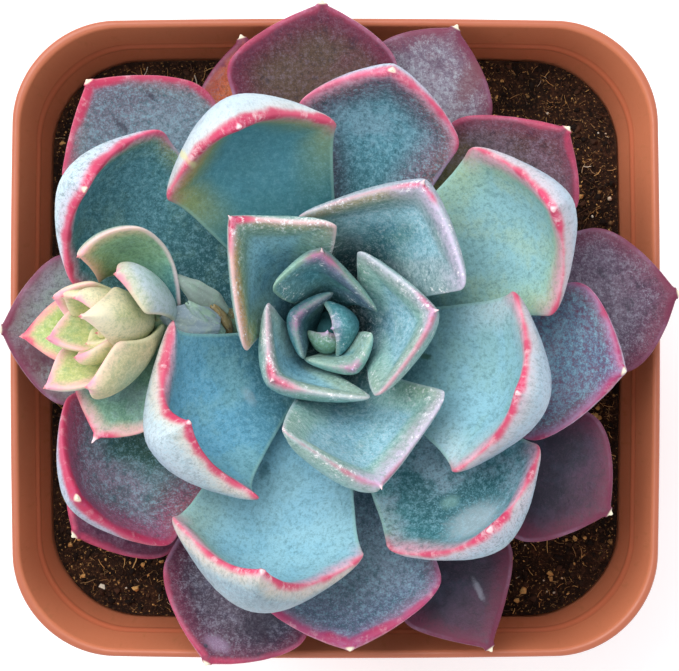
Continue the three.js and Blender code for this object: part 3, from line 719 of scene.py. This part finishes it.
def leafFinish(name, leaf, look):
    finish = Finish(name)
    step, cloud, size = finish.step, finish.cloud, leafNoise
    along, rim, upper = finish.split(finish.attribute("shape"))
    skin = finish.attribute("skin")
    across, _, _ = finish.split(skin)
    place = finish.place()
    grit = cloud(place, size["grit"] * mm, 3.0, 0.7)
    fine = cloud(place, size["fine"] * mm, 4.0, 0.75)
    brush = cloud(finish.stretched(skin, (1.0, 0.35, 1.0)), size["brush"], 2.0, 0.6)
    mottle = cloud(skin, size["mottle"], 2.0, 0.5)
    patch = cloud(skin, size["patch"], 4.0, 0.65)
    wave = cloud(skin, size["wave"], 1.0, 0.5)
    crumbly, uneven, blotchy = fine - 0.5, mottle - 0.5, patch - 0.5
    turn = step(across, -2.0, 2.0)
    aside = across.maths("ABSOLUTE", across) + blotchy * 2.0
    end = step(along, 0.8, 0.97) * step(aside, look["tipWide"], 0.3 * look["tipWide"])
    past = step(along, leaf["shoulder"] - 0.12, leaf["shoulder"] + 0.03)

    def bySide(key):  # an amount that runs from one side over the tip to the other
        left, tip, right = look[key]
        flank = turn * (left - right) + right
        return flank + end * (tip - flank)

    def coat(key, share):
        finish.coat(look[key], share)

    loose = rim + uneven * 2.6 + blotchy * 1.4
    # The blade runs into the foot colour towards the leaf's foot: partly the leaf base's own deeper green,
    # partly painted shade deep inside the rosette.
    footTo = look["footTo"]
    rise = step(along + uneven * 0.3, footTo - 0.25, footTo + 0.2)
    finish.colour = finish.mix(look["foot"], look["blade"], rise)
    coat("centre", step(loose, 1.5, 7.0) * step(along, footTo - 0.1, footTo + 0.25) * look["centreMuch"])
    coat("tone", step(mottle * 0.6 + patch * 0.4, 0.45, 0.62) * look["toneMuch"])
    if look["wineMuch"] > 0:
        tipWine = step(along + uneven * 0.3 + blotchy * 0.1, look["wineFrom"], 1.0)
        coat("wine", tipWine.most(step(loose, look["wineWide"], 0.4)) * look["wineMuch"])
    if max(look["bandSides"]) > 0:
        wide = look["bandWide"]
        coat("band", step(loose, wide + 0.6, wide - 0.6) * step(along, 0.3, 0.55) * bySide("bandSides"))
        # A pale strip beside the band, along the fold of the blade: painted highlight of light caught in the
        # channel.
        crease = step(rim, wide + 2.6, wide + 0.6) * step(rim, wide - 1.6, wide - 0.2)
        finish.coat("ice", crease * step(along, 0.4, 0.65) * look["crease"])
    wide = look["flushWide"]
    flush = step(loose, wide + 0.5, 0.2 * wide) * step(along, 0.35, 0.65)
    coat("flush", flush * bySide("flushSides") * 0.8)
    warm = step(loose, 0.5 * wide + 0.6, 0.4) * past * bySide("flushSides")
    finish.coat("amber", warm * look["warm"])
    coat("shade", step(loose, look["shadeWide"], 0.3 * look["shadeWide"]) * past * look["shadeMuch"])

    back = finish.mix(look["back"], look["backShade"], step(loose, 1.5, 7.0))
    back = finish.mix(back, look["backTint"], step(loose, 2.6, 0.8) * past * look["backFlush"])
    finish.colour = finish.mix(back, finish.colour, step(upper, 0.3, 0.7))
    for key, lumps, low, high, share in (("light", fine, 0.47, 0.68, 1), ("dark", fine, 0.53, 0.34, 1),
                                         ("light", grit, 0.52, 0.7, 1), ("dark", grit, 0.48, 0.3, 1),
                                         ("dark", brush, 0.46, 0.3, 0.7)):
        coat(key, step(lumps, low, high) * (look["grain"] * share))
    coat("dark", step(patch, 0.44, 0.3) * look["pits"])
    coat("light", step(grit * 0.5 + patch * 0.5, 0.54, 0.62) * look["flecks"])

    edge = rim + blotchy * 0.4
    crisp = edge + crumbly * 0.3
    coat("line", step(edge, 0.7, 0.2) * look["lineMuch"])
    facing = step(upper, 0.1, 0.6) * 0.6 + 0.4
    halo = step(edge + uneven * 2.0, look["haloWide"], 0.2) * bySide("haloSides") * past * facing
    coat("halo", halo * look["haloMuch"] * (0.5 + 0.5 * step(fine, 0.35, 0.55)))
    wide = look["roseWide"] + (wave - 0.5) * 1.3 + end * 0.35
    core = step(crisp, wide + 0.9, wide) * bySide("roseSides") * past
    coat("rose", core)
    coat("deep", core * step(wave * 0.7 + fine * 0.3, 0.46, 0.62) * 0.5)
    # Pale specks on the rose line: painted highlight, glints of a wet-looking edge.
    glint = step(fine * 0.4 + patch * 0.6, 0.5, 0.66) * step(crisp, wide + 1.2, wide + 0.2)
    finish.coat("petal", glint * core * look["paintedGlint"])
    near = step(along, 1 - 2.2 / leaf["length"], 1.0) * step(edge, 1.6, 0.2)
    coat("halo", near * step(fine, 0.4, 0.6) * 0.5)
    gems = step(fine * 0.7 + grit * 0.3, 0.53, 0.6) * step(patch + uneven * 0.5, 0.49, 0.57)
    finish.coat("white", gems * step(rim, look["gemWide"], 0.6) * look["gems"])
    for x, y, broad, long, shade, much in look["marks"]:
        spot = finish.stretched(skin, (1 / broad, 1 / long, 0), (-x / broad, -y / long, 0))
        away = finish.node("ShaderNodeVectorMath", {"operation": "LENGTH"}, {0: spot}, out="Value")
        finish.coat(shade, step(away + crumbly * 1.4 + blotchy, 1.3, 0.4) * much)
    coat("thornTint", step(along, 1.0, 1.04))
    relief = grit * 0.3 + fine * 0.5 + patch * 0.6
    return finish.close(Roughness=look["rough"] + crumbly * 0.4, Specular_IOR_Level=0.35,
                        Normal=finish.bump(relief, size["bump"] * mm, look["relief"]))


def makeRosette():
    place = Matrix.Translation((*rosetteShape["axis"], 0))
    for n, (kind, own) in enumerate(leafLooks):
        name = f"leaf_{n + 1:02d}"
        leaf = rosetteLeaf(n)
        piece = makeLeaf(f"skin_{name}", leaf, n < 4, place, 7.3 * n)
        slot = "inner_leaf" if n < 10 else "middle_leaf" if n < 19 else "outer_leaf"
        putOn(piece, leafFinish(f"finish_{name}", leaf, {**plainLook, **kind, **own}), slot, name)
    print("rosette leaves done")


def youngPlace():
    rise = math.radians(youngShape["rise"])
    z = Vector((-math.cos(rise), 0, math.sin(rise)))
    x = Vector((-math.sin(rise), 0, -math.cos(rise)))
    turn = Matrix((x, z.cross(x), z)).transposed().to_4x4()
    axis = Matrix.Translation((*rosetteShape["axis"], 0))
    return axis @ Matrix.Translation(youngShape["foot"]) @ turn


def makeSideRosette():
    place = youngPlace()
    for k, own in enumerate(youngLooks):
        name = f"young_leaf_{k + 1:02d}"
        leaf = youngLeaf(k)
        piece = makeLeaf(name, leaf, True, place, 300 + 5.1 * k)
        look = {**plainLook, **youngBase, **own}
        putOn(piece, leafFinish(f"finish_{name}", leaf, look), "young_leaf", "side_rosette")
    print("side rosette done")


# Pot

potForm = {
    "width": 89.7,
    "depth": 88.3,
    "height": 80.0,
    "corner": 14.0,
    "cornerBase": 8.5,
    "bow": 0.6,
    "floor": 1.6,
    "ledgeHeight": 69.0,
    "ledgeInset": 3.15,
    "floorEdgeHeight": 2.2,
    "floorEdgeInset": 15.0,
    "holeRadius": 4.0,
    "holeOffset": 18.0,
    "cornerSteps": 24,
    "sideSteps": 18,
    "lipRow": 17,
    # from the middle of the base over the lip to the middle of the floor, as inset and height
    "section": [
        None, (14.3, 0.0), (13.95, 0.15), (13.75, 0.5), (13.5, 1.2), (8.0, 34.0), (1.98, 67.7), (1.85, 68.05),
        (1.5, 68.25), (1.35, 68.5), (0.5, 78.1), (0.38, 78.35), (0.12, 78.5), (0.02, 78.75), (0.0, 79.4),
        (0.08, 79.75), (0.3, 79.95), (0.6, 80.0), (0.85, 79.95), (1.05, 79.75), (1.18, 79.4), (2.45, 70.2),
        (2.6, 69.85), (2.85, 69.7), (3.05, 69.5), (3.18, 69.0), (9.0, 36.0), (14.4, 5.0), (15.2, 2.6),
        (16.2, 1.75), (17.4, 1.6), None,
    ],
}


def potCorner(inset):
    share = clamp(inset / potForm["floorEdgeInset"])
    return potForm["corner"] + (potForm["cornerBase"] - potForm["corner"]) * share


def onPot(inset, turn):  # a point of the pot's rounded square, turn from 0 to 1
    halfX = potForm["width"] / 2 - inset
    halfY = potForm["depth"] / 2 - inset
    corner = potCorner(inset)
    angle = turn * 2 * math.pi
    dx, dy = math.cos(angle), math.sin(angle)
    flatX, flatY = halfX - corner, halfY - corner
    reach = min(halfX / max(abs(dx), 1e-9), halfY / max(abs(dy), 1e-9))
    x, y = dx * reach, dy * reach
    if abs(x) > flatX and abs(y) > flatY:
        cx, cy = math.copysign(flatX, x), math.copysign(flatY, y)
        b = dx * cx + dy * cy
        reach = b + math.sqrt(max(b * b - cx * cx - cy * cy + corner ** 2, 0))
        x, y = dx * reach, dy * reach
    bowX = 1 + potForm["bow"] * (1 - (y / halfY) ** 2) / halfX
    bowY = 1 + potForm["bow"] * (1 - (x / halfX) ** 2) / halfY
    return x * bowX, y * bowY


def potTurns():  # the turns of one ring, close together in the corners
    form = potForm
    flatX, flatY = form["width"] / 2 - form["corner"], form["depth"] / 2 - form["corner"]
    turns = []
    for quarter in range(4):
        signX, signY = (1, -1, -1, 1)[quarter], (1, 1, -1, -1)[quarter]
        for i in range(form["cornerSteps"] + 1):
            angle = (quarter + i / form["cornerSteps"]) * math.pi / 2
            x = signX * flatX + form["corner"] * math.cos(angle)
            y = signY * flatY + form["corner"] * math.sin(angle)
            turns.append(math.atan2(y, x) / (2 * math.pi) % 1)
    turns.sort()
    ring = []
    for a, b in zip(turns, turns[1:] + [turns[0] + 1]):
        steps = form["sideSteps"] if b - a > 0.05 else 1
        ring += [a + (b - a) * i / steps for i in range(steps)]
    return ring


def potWall(z):
    form = potForm
    slope = (form["floorEdgeInset"] - form["ledgeInset"]) / (form["ledgeHeight"] - form["floorEdgeHeight"])
    return form["ledgeInset"] + (form["ledgeHeight"] - z) * slope


def makePot():
    form = potForm
    turns = potTurns()
    rows = len(form["section"]) - 1
    piece = addPrimitive(bpy.ops.mesh.primitive_uv_sphere_add, "pot_shell", segments=len(turns),
                         ring_count=rows, radius=1)
    inner = []
    for vertex in piece.data.vertices:
        x, y, z = vertex.co
        row = round(math.acos(clamp(-z, -1, 1)) / math.pi * rows)
        inner += [clamp((row - form["lipRow"]) / 3), 0.0, 0.0]
        if 0 < row < rows:
            inset, height = form["section"][row]
            turn = turns[round(math.atan2(y, x) / (2 * math.pi) * len(turns)) % len(turns)]
            vertex.co = Vector((*onPot(inset, turn), height)) * mm
        else:
            vertex.co = Vector((0, 0, 0 if row == 0 else form["floor"])) * mm
    piece.data.attributes.new("wall", "FLOAT_VECTOR", "POINT").data.foreach_set("vector", inner)
    settle(piece)
    offset = form["holeOffset"] * mm
    for x, y in ((-offset, -offset), (-offset, offset), (offset, -offset), (offset, offset)):
        drill = addPrimitive(bpy.ops.mesh.primitive_cylinder_add, "drill", vertices=48,
                             radius=form["holeRadius"] * mm, depth=12 * mm, location=(x, y, 0))
        applyModifier(piece, "BOOLEAN", object=drill, operation="DIFFERENCE", solver="EXACT")
        bpy.data.objects.remove(drill)
    settle(piece, 40)
    putOn(piece, potFinish(), "pot", "pot")
    print("pot done")


def potFinish():
    finish = Finish("finish_pot")
    step, ledge, lip = finish.step, potForm["ledgeHeight"], potForm["height"]
    place = finish.place()
    _, _, z = finish.split(place)
    inner, _, _ = finish.split(finish.attribute("wall"))
    broad = finish.cloud(place, 30 * mm, 3.0, 0.5)
    fine = finish.cloud(place, 0.6 * mm, 4.0, 0.6)
    drawn = finish.cloud(finish.stretched(place, (1.0, 1.0, 0.12)), 1.2 * mm, 3.0, 0.6)
    finish.colour = finish.mix("terracotta", "clay", step(broad + (fine - 0.5) * 0.3, 0.35, 0.75) * 0.5)
    # Darker below the ledge, towards the soil: painted shade in the pot's recess (it reaches the outer wall
    # below that height too).
    finish.coat("clay", step(z, ledge * mm, (ledge - 7) * mm) * 0.45)
    # The inner wall is painted much lighter: painted light, standing in for light on the shaded inner wall.
    finish.coat("clayPaintedLight", inner * 0.95)
    rib = step(z, (ledge + 1.4) * mm, (ledge + 0.9) * mm) * step(z, (ledge - 0.3) * mm, (ledge + 0.3) * mm)
    finish.coat("terracotta", inner * rib * 0.7)
    # A lighter top on the lip: painted highlight where it faces up into the light.
    finish.coat("peach", step(z, (lip - 0.5) * mm, (lip - 0.1) * mm) * 0.2)
    dust = step(drawn, 0.55, 0.8) * 0.18
    finish.coat("tan", dust)
    return finish.close(Roughness=0.38 + (fine - 0.5) * 0.25 + dust, Specular_IOR_Level=0.5,
                        Normal=finish.bump(fine * 0.5 + drawn * 0.5, 0.06 * mm, 0.5))


# Soil

soilForm = {
    "edgeHeight": 63.6,
    "mound": 1.6,
    "skirt": [(61.6, 0), (34.0, 0), (3.0, 0), (1.9, 1.4)],  # height and bevel
    "sideGap": 0.33,
    "grid": 150,
    "roughness": 0.9,
    "lumps": 6.5,
    "crumbs": 8500,
    "fibres": 7000,
    "seed": 77,
}


def soilHeight(x, y, share):
    form = soilForm
    rough = noise.fractal(Vector((x / form["lumps"], y / form["lumps"], 3.1)), 0.9, 2.1, 4)
    return form["edgeHeight"] + form["mound"] * ease(1.25 - share) + form["roughness"] * rough * 0.6


def soilPoint(share, turn):
    inset = potWall(soilForm["edgeHeight"]) + soilForm["sideGap"]
    x, y = onPot(inset, turn)
    return x * share, y * share


def makeSoilBed():
    form = soilForm
    piece = addPrimitive(bpy.ops.mesh.primitive_grid_add, "soil_bed", x_subdivisions=form["grid"],
                         y_subdivisions=form["grid"], size=2)
    for vertex in piece.data.vertices:
        share = max(abs(vertex.co.x), abs(vertex.co.y))
        turn = math.atan2(vertex.co.y, vertex.co.x) / (2 * math.pi)
        x, y = soilPoint(share, turn)
        z = soilHeight(x, y, share)
        vertex.co = Vector((x, y, z)) * mm
    openMesh()
    bpy.ops.mesh.select_mode(type="EDGE")
    bpy.ops.mesh.region_to_loop()
    for z, bevel in form["skirt"]:
        inset = potWall(max(z, 3.0)) + form["sideGap"] + bevel
        bpy.ops.mesh.extrude_region_move(TRANSFORM_OT_translate={"value": (0, 0, -mm)})
        closeMesh()
        for vertex in piece.data.vertices:
            if vertex.select:
                turn = math.atan2(vertex.co.y, vertex.co.x) / (2 * math.pi)
                vertex.co = Vector((*onPot(inset, turn), z)) * mm
        bpy.ops.object.mode_set(mode="EDIT")
    bpy.ops.mesh.edge_face_add()
    closeMesh()
    settle(piece, 60)
    putOn(piece, soilFinish(), "soil", "soil")


def scatter(name, model, spots, chances):  # one mesh of many copies of a small model
    source = [vertex.co.copy() for vertex in model.data.vertices]
    faces = [tuple(face.vertices) for face in model.data.polygons]
    points, loops, chance = [], [], []
    for spot, value in zip(spots, chances):
        first = len(points)
        points += [spot @ co for co in source]
        loops += [tuple(first + i for i in face) for face in faces]
        chance += [value] * len(source)
    mesh = bpy.data.meshes.new(name)
    mesh.from_pydata(points, [], loops)
    layer = mesh.attributes.new("chance", "FLOAT", "POINT")
    layer.data.foreach_set("value", chance)
    piece = bpy.data.objects.new(name, mesh)
    bpy.context.collection.objects.link(piece)
    bpy.data.objects.remove(model)
    return piece


def onSoil(dice):
    share = math.sqrt(dice.uniform(0.2, 1)) * 0.985
    turn = dice.random()
    x, y = soilPoint(share, turn)
    return Vector((x, y, soilHeight(x, y, share)))


def lay(dice, spot, size, flat=1.0, lift=0.2):
    turn = Matrix.Rotation(dice.uniform(0, 2 * math.pi), 4, "Z")
    lean = Matrix.Rotation(dice.gauss(0, 0.5), 4, "X") @ Matrix.Rotation(dice.gauss(0, 0.5), 4, "Y")
    grow = Matrix.Diagonal((size * dice.uniform(0.7, 1.3), size * dice.uniform(0.7, 1.3), size * flat, 1))
    return Matrix.Translation((spot + Vector((0, 0, lift * size))) * mm) @ turn @ lean @ grow


def makeSoilLoose():
    form = soilForm
    dice = random.Random(form["seed"])
    crumb = addPrimitive(bpy.ops.mesh.primitive_ico_sphere_add, "crumb", subdivisions=1, radius=mm)
    for vertex in crumb.data.vertices:
        vertex.co *= dice.uniform(0.65, 1.25)
    spots = [lay(dice, onSoil(dice), 0.16 + 0.5 * dice.random() ** 4, 0.7) for _ in range(form["crumbs"])]
    piece = scatter("soil_crumbs", crumb, spots, [dice.random() for _ in spots])
    settle(piece, 50)
    putOn(piece, crumbFinish(), "soil")

    fibre = addPrimitive(bpy.ops.mesh.primitive_cylinder_add, "fibre", vertices=3, radius=0.09 * mm,
                         depth=3 * mm, rotation=(0, math.pi / 2, 0))
    openMesh()
    bpy.ops.mesh.bisect(plane_co=(0, 0, 0), plane_no=(1, 0, 0))
    closeMesh()
    bpy.ops.object.transform_apply(rotation=True)
    for vertex in fibre.data.vertices:
        x = vertex.co.x / mm
        vertex.co.y += 0.12 * mm * x * x
        vertex.co.z += 0.1 * mm * math.sin(2 * x)
    spots = [lay(dice, onSoil(dice), 0.16 + 0.5 * dice.random() ** 5, 1.6, 0.8)
             for _ in range(form["fibres"])]
    piece = scatter("soil_fibres", fibre, spots, [dice.random() for _ in spots])
    settle(piece, 60)
    putOn(piece, fibreFinish(), "soil")
    print("soil done")


def soilFinish():
    finish = Finish("finish_soil")
    place = finish.place()
    lumps = finish.cloud(place, 2.5 * mm, 6.0, 0.7)
    fine = finish.cloud(place, 0.4 * mm, 4.0, 0.7)
    finish.colour = finish.mix("soot", "humus", finish.step(lumps * 0.5 + fine * 0.5, 0.42, 0.66))
    finish.coat("gold", finish.step(fine, 0.6, 0.68) * 0.8)
    return finish.close(Roughness=0.9 + (fine - 0.5) * 0.2, Specular_IOR_Level=0.2,
                        Normal=finish.bump(lumps * 0.6 + fine * 0.4, 0.6 * mm, 0.9))


def crumbFinish():
    finish = Finish("finish_crumbs")
    chance = finish.attribute("chance", "Fac")
    fine = finish.cloud(finish.place(), 0.3 * mm, 4.0, 0.7)
    finish.colour = finish.mix("soot", "humus", finish.step(chance + (fine - 0.5) * 0.6, 0.3, 0.8))
    finish.coat("gold", finish.step(chance + (fine - 0.5) * 0.1, 0.84, 0.9))
    finish.coat("bone", finish.step(chance, 0.982, 0.99))
    return finish.close(Roughness=0.85 + (fine - 0.5) * 0.2, Specular_IOR_Level=0.3,
                        Normal=finish.bump(fine, 0.2 * mm, 0.8))


def fibreFinish():
    finish = Finish("finish_fibres")
    chance = finish.attribute("chance", "Fac")
    fine = finish.cloud(finish.place(), 0.5 * mm, 3.0, 0.6)
    finish.colour = finish.mix("humus", "tan", finish.step(chance + (fine - 0.5) * 0.4, 0.25, 0.6))
    finish.coat("gold", finish.step(chance, 0.6, 0.85))
    finish.coat("bone", finish.step(chance, 0.95, 0.99))
    return finish.close(Roughness=0.7 + (fine - 0.5) * 0.2, Specular_IOR_Level=0.35,
                        Normal=finish.bump(fine, 0.1 * mm, 0.6))


# Stem and stalk

stemForm = {
    # height and radius
    "profile": [(50.0, 3.5), (51.6, 4.3), (72.0, 4.3), (80.0, 4.0), (86.0, 3.4), (89.6, 2.4), (91.8, 1.2),
                (92.4, 0.3)],
    "around": 48,
    "rings": 60,
    "scars": 0.12,
    "stalkAround": 24,
    "stalkRings": 24,
    "stalkTaper": [(0, 1.1), (0.6, 1.0), (0.8, 0.85), (1, 0.25)],
}


def makeStem():
    form = stemForm
    axis = Vector((*rosetteShape["axis"], 0))
    low, high = form["profile"][0][0], form["profile"][-1][0]
    piece = addPrimitive(bpy.ops.mesh.primitive_cylinder_add, "stem_bark", vertices=form["around"], radius=1,
                         depth=2)
    cutRings(form["rings"])
    for vertex in piece.data.vertices:
        x, y, z = vertex.co
        height = low + (high - low) * (z + 1) / 2
        angle = math.atan2(y, x)
        scar = form["scars"] * math.sin(2.2 * height + 2 * angle) * math.sin(1.3 * height - 3 * angle)
        radius = between(form["profile"], height) + scar
        vertex.co = (axis + Vector((radius * math.cos(angle), radius * math.sin(angle), height))) * mm
    settle(piece, 50)
    putOn(piece, stemFinish("finish_stem"), "stem", "stem")

    stalk = youngShape
    rise = math.radians(stalk["rise"])
    foot = Vector(stalk["foot"])
    way = Vector((-math.cos(rise), 0, math.sin(rise)))
    bends = [Vector(stalk["stalkFoot"]), Vector(stalk["stalkBend"]), foot - 5 * way, foot, foot + 6 * way]
    piece = addPrimitive(bpy.ops.mesh.primitive_cylinder_add, "young_stalk", vertices=form["stalkAround"],
                         radius=1, depth=2)
    cutRings(form["stalkRings"])
    side = Vector((0, 1, 0))
    for vertex in piece.data.vertices:
        x, y, z = vertex.co
        share = (z + 1) / 2
        centre, heading = onWay(bends, share)
        up = heading.cross(side).normalized()
        radius = stalk["stalkRadius"] * between(form["stalkTaper"], share)
        vertex.co = (axis + centre + side * x * radius + up * y * radius) * mm
    settle(piece, 50)
    putOn(piece, stemFinish("finish_stalk"), "stem", "side_rosette")
    print("stem done")


def onWay(bends, share):  # a smooth curve through the bends and its heading
    place = clamp(share, 0, 0.99999) * (len(bends) - 1)
    i = int(place)
    t = place - i
    a, b, c, d = (bends[clamp(k, 0, len(bends) - 1)] for k in range(i - 1, i + 3))
    first, second, third = c - a, 2 * a - 5 * b + 4 * c - d, 3 * b - a - 3 * c + d
    centre = 0.5 * (2 * b + first * t + second * t * t + third * t ** 3)
    heading = 0.5 * (first + 2 * second * t + 3 * third * t * t)
    return centre, heading.normalized()


def stemFinish(name):
    finish = Finish(name)
    place = finish.place()
    _, _, height = finish.split(place)
    lumps = finish.cloud(place, 3.0 * mm, 4.0, 0.6)
    fine = finish.cloud(place, 0.5 * mm, 4.0, 0.6)
    finish.colour = finish.mix("sage", "straw", finish.step(lumps, 0.4, 0.7))
    finish.coat("bark", finish.step(fine * 0.5 + lumps * 0.5, 0.46, 0.6) * 0.7)
    if name == "finish_stem":
        # The stem's top turns teal: partly the green of the growing point, partly painted shade at the heart.
        finish.coat("teal", finish.step(height, 84 * mm, 90 * mm))
    return finish.close(Roughness=0.7 + (fine - 0.5) * 0.2, Specular_IOR_Level=0.3,
                        Normal=finish.bump(fine, 0.3 * mm, 0.7))


# Shrivelled bracts over the side rosette's stalk: from foot to tip, half width, arch and colours
bracts = {
    "bract_long": ((-14.9, 3.2, 91.6), (-21.2, 8.2, 97.2), 1.8, 0.5, "grey", "mist"),
    "bract_short": ((-15.6, 1.6, 94.4), (-23.2, 3.0, 97.6), 2.4, 0.8, "haze", "grey"),
    "bract_side": ((-15.2, 0.4, 93.0), (-19.6, 4.6, 97.6), 1.3, 0.5, "mist", "haze"),
    "bract_scrap": ((-14.4, 0.6, 91.4), (-16.4, 4.2, 94.4), 0.9, 0.5, "husk", "bark"),
}
bractThick = 0.3


def makeBracts():
    for seed, (name, (foot, tip, half, arch, light, dark)) in enumerate(bracts.items()):
        piece = addPrimitive(bpy.ops.mesh.primitive_grid_add, name, x_subdivisions=48, y_subdivisions=32,
                             size=2)
        foot, tip = Vector(foot), Vector(tip)
        way = (tip - foot).normalized()
        side = way.cross(Vector((0, 0, 1))).normalized()
        up = side.cross(way)
        for vertex in piece.data.vertices:
            x, y, _ = vertex.co
            share = (x + 1) / 2
            width = half * (0.5 + 0.6 * math.sin(math.pi * share)) * math.sqrt(max(1 - share ** 2.5, 0.002))
            ragged = 1 + 0.16 * noise.noise(Vector((5 * share, y, 3.7 * seed + 1)))
            crease = abs(noise.noise(Vector((1.2 * share, 1.8 * y, 9.1 * seed + 1))))
            lift = arch * (math.sin(math.pi * share) - 0.9 * y * y) - crease * 0.9
            point = foot.lerp(tip, share) + side * y * width * ragged + up * lift
            vertex.co = point * mm
        applyModifier(piece, "SOLIDIFY", thickness=bractThick * mm, offset=-1.0)
        applyModifier(piece, "SUBSURF", levels=1)
        settle(piece, 70)
        putOn(piece, bractFinish(name, light, dark), "young_leaf")
    print("bracts done")


def bractFinish(name, light, dark):
    finish = Finish(f"finish_{name}")
    place = finish.place()
    folds = finish.cloud(place, 1.6 * mm, 4.0, 0.65)
    fine = finish.cloud(place, 0.35 * mm, 4.0, 0.7)
    both = folds * 0.7 + fine * 0.3
    finish.colour = finish.mix(light, dark, finish.step(both, 0.44, 0.64) * 0.8)
    finish.coat("frost", finish.step(fine, 0.55, 0.7) * 0.35)
    return finish.close(Roughness=0.6 + (fine - 0.5) * 0.3, Specular_IOR_Level=0.3,
                        Normal=finish.bump(both, 0.25 * mm, 0.5))


# Studio

studio = {
    "cameraPlace": (0.6, 0.4, 530.0),
    "viewWidth": 94.86,
    "viewHeight": 80.0,
    "keyPower": 11.8,
    "keyPlace": (-0.4, 0.45, 1.0),
    "keySize": 0.9,
    "skyStrength": 0.78,
    "floorGlow": 0.35,
}


def makeStudio():
    camera = bpy.data.cameras.new("camera")
    distance = studio["cameraPlace"][2] - studio["viewHeight"]
    camera.sensor_width = 36.0
    camera.lens = camera.sensor_width * distance / studio["viewWidth"]
    camera.clip_start = 0.01
    eye = bpy.data.objects.new("camera", camera)
    eye.location = Vector(studio["cameraPlace"]) * mm
    bpy.context.collection.objects.link(eye)
    bpy.context.scene.camera = eye

    light = bpy.data.lights.new("key", "AREA")
    light.energy = studio["keyPower"]
    light.size = studio["keySize"]
    lamp = bpy.data.objects.new("key", light)
    lamp.location = studio["keyPlace"]
    lamp.rotation_euler = (-Vector(studio["keyPlace"])).to_track_quat("-Z", "Y").to_euler()
    bpy.context.collection.objects.link(lamp)

    world = bpy.data.worlds.new("world")
    world.use_nodes = True
    sky = world.node_tree.nodes["Background"].inputs
    sky["Color"].default_value = (1, 1, 1, 1)
    sky["Strength"].default_value = studio["skyStrength"]
    bpy.context.scene.world = world
    bpy.context.scene.view_settings.view_transform = "Standard"

    floor = addPrimitive(bpy.ops.mesh.primitive_plane_add, "floor", size=4)
    finish = Finish("finish_floor")
    speck = finish.cloud(finish.place(), 0.02, 2.0, 0.5)
    finish.colour = finish.mix("white", "frost", finish.step(speck, 0.3, 0.7) * 0.04)
    floor.data.materials.append(finish.close(Roughness=0.8, Specular_IOR_Level=0.2, Emission_Color="white",
                                             Emission_Strength=studio["floorGlow"]))
    print("studio done")


makeStudio()
makePot()
makeSoilBed()
makeSoilLoose()
makeStem()
makeRosette()
makeSideRosette()
makeBracts()
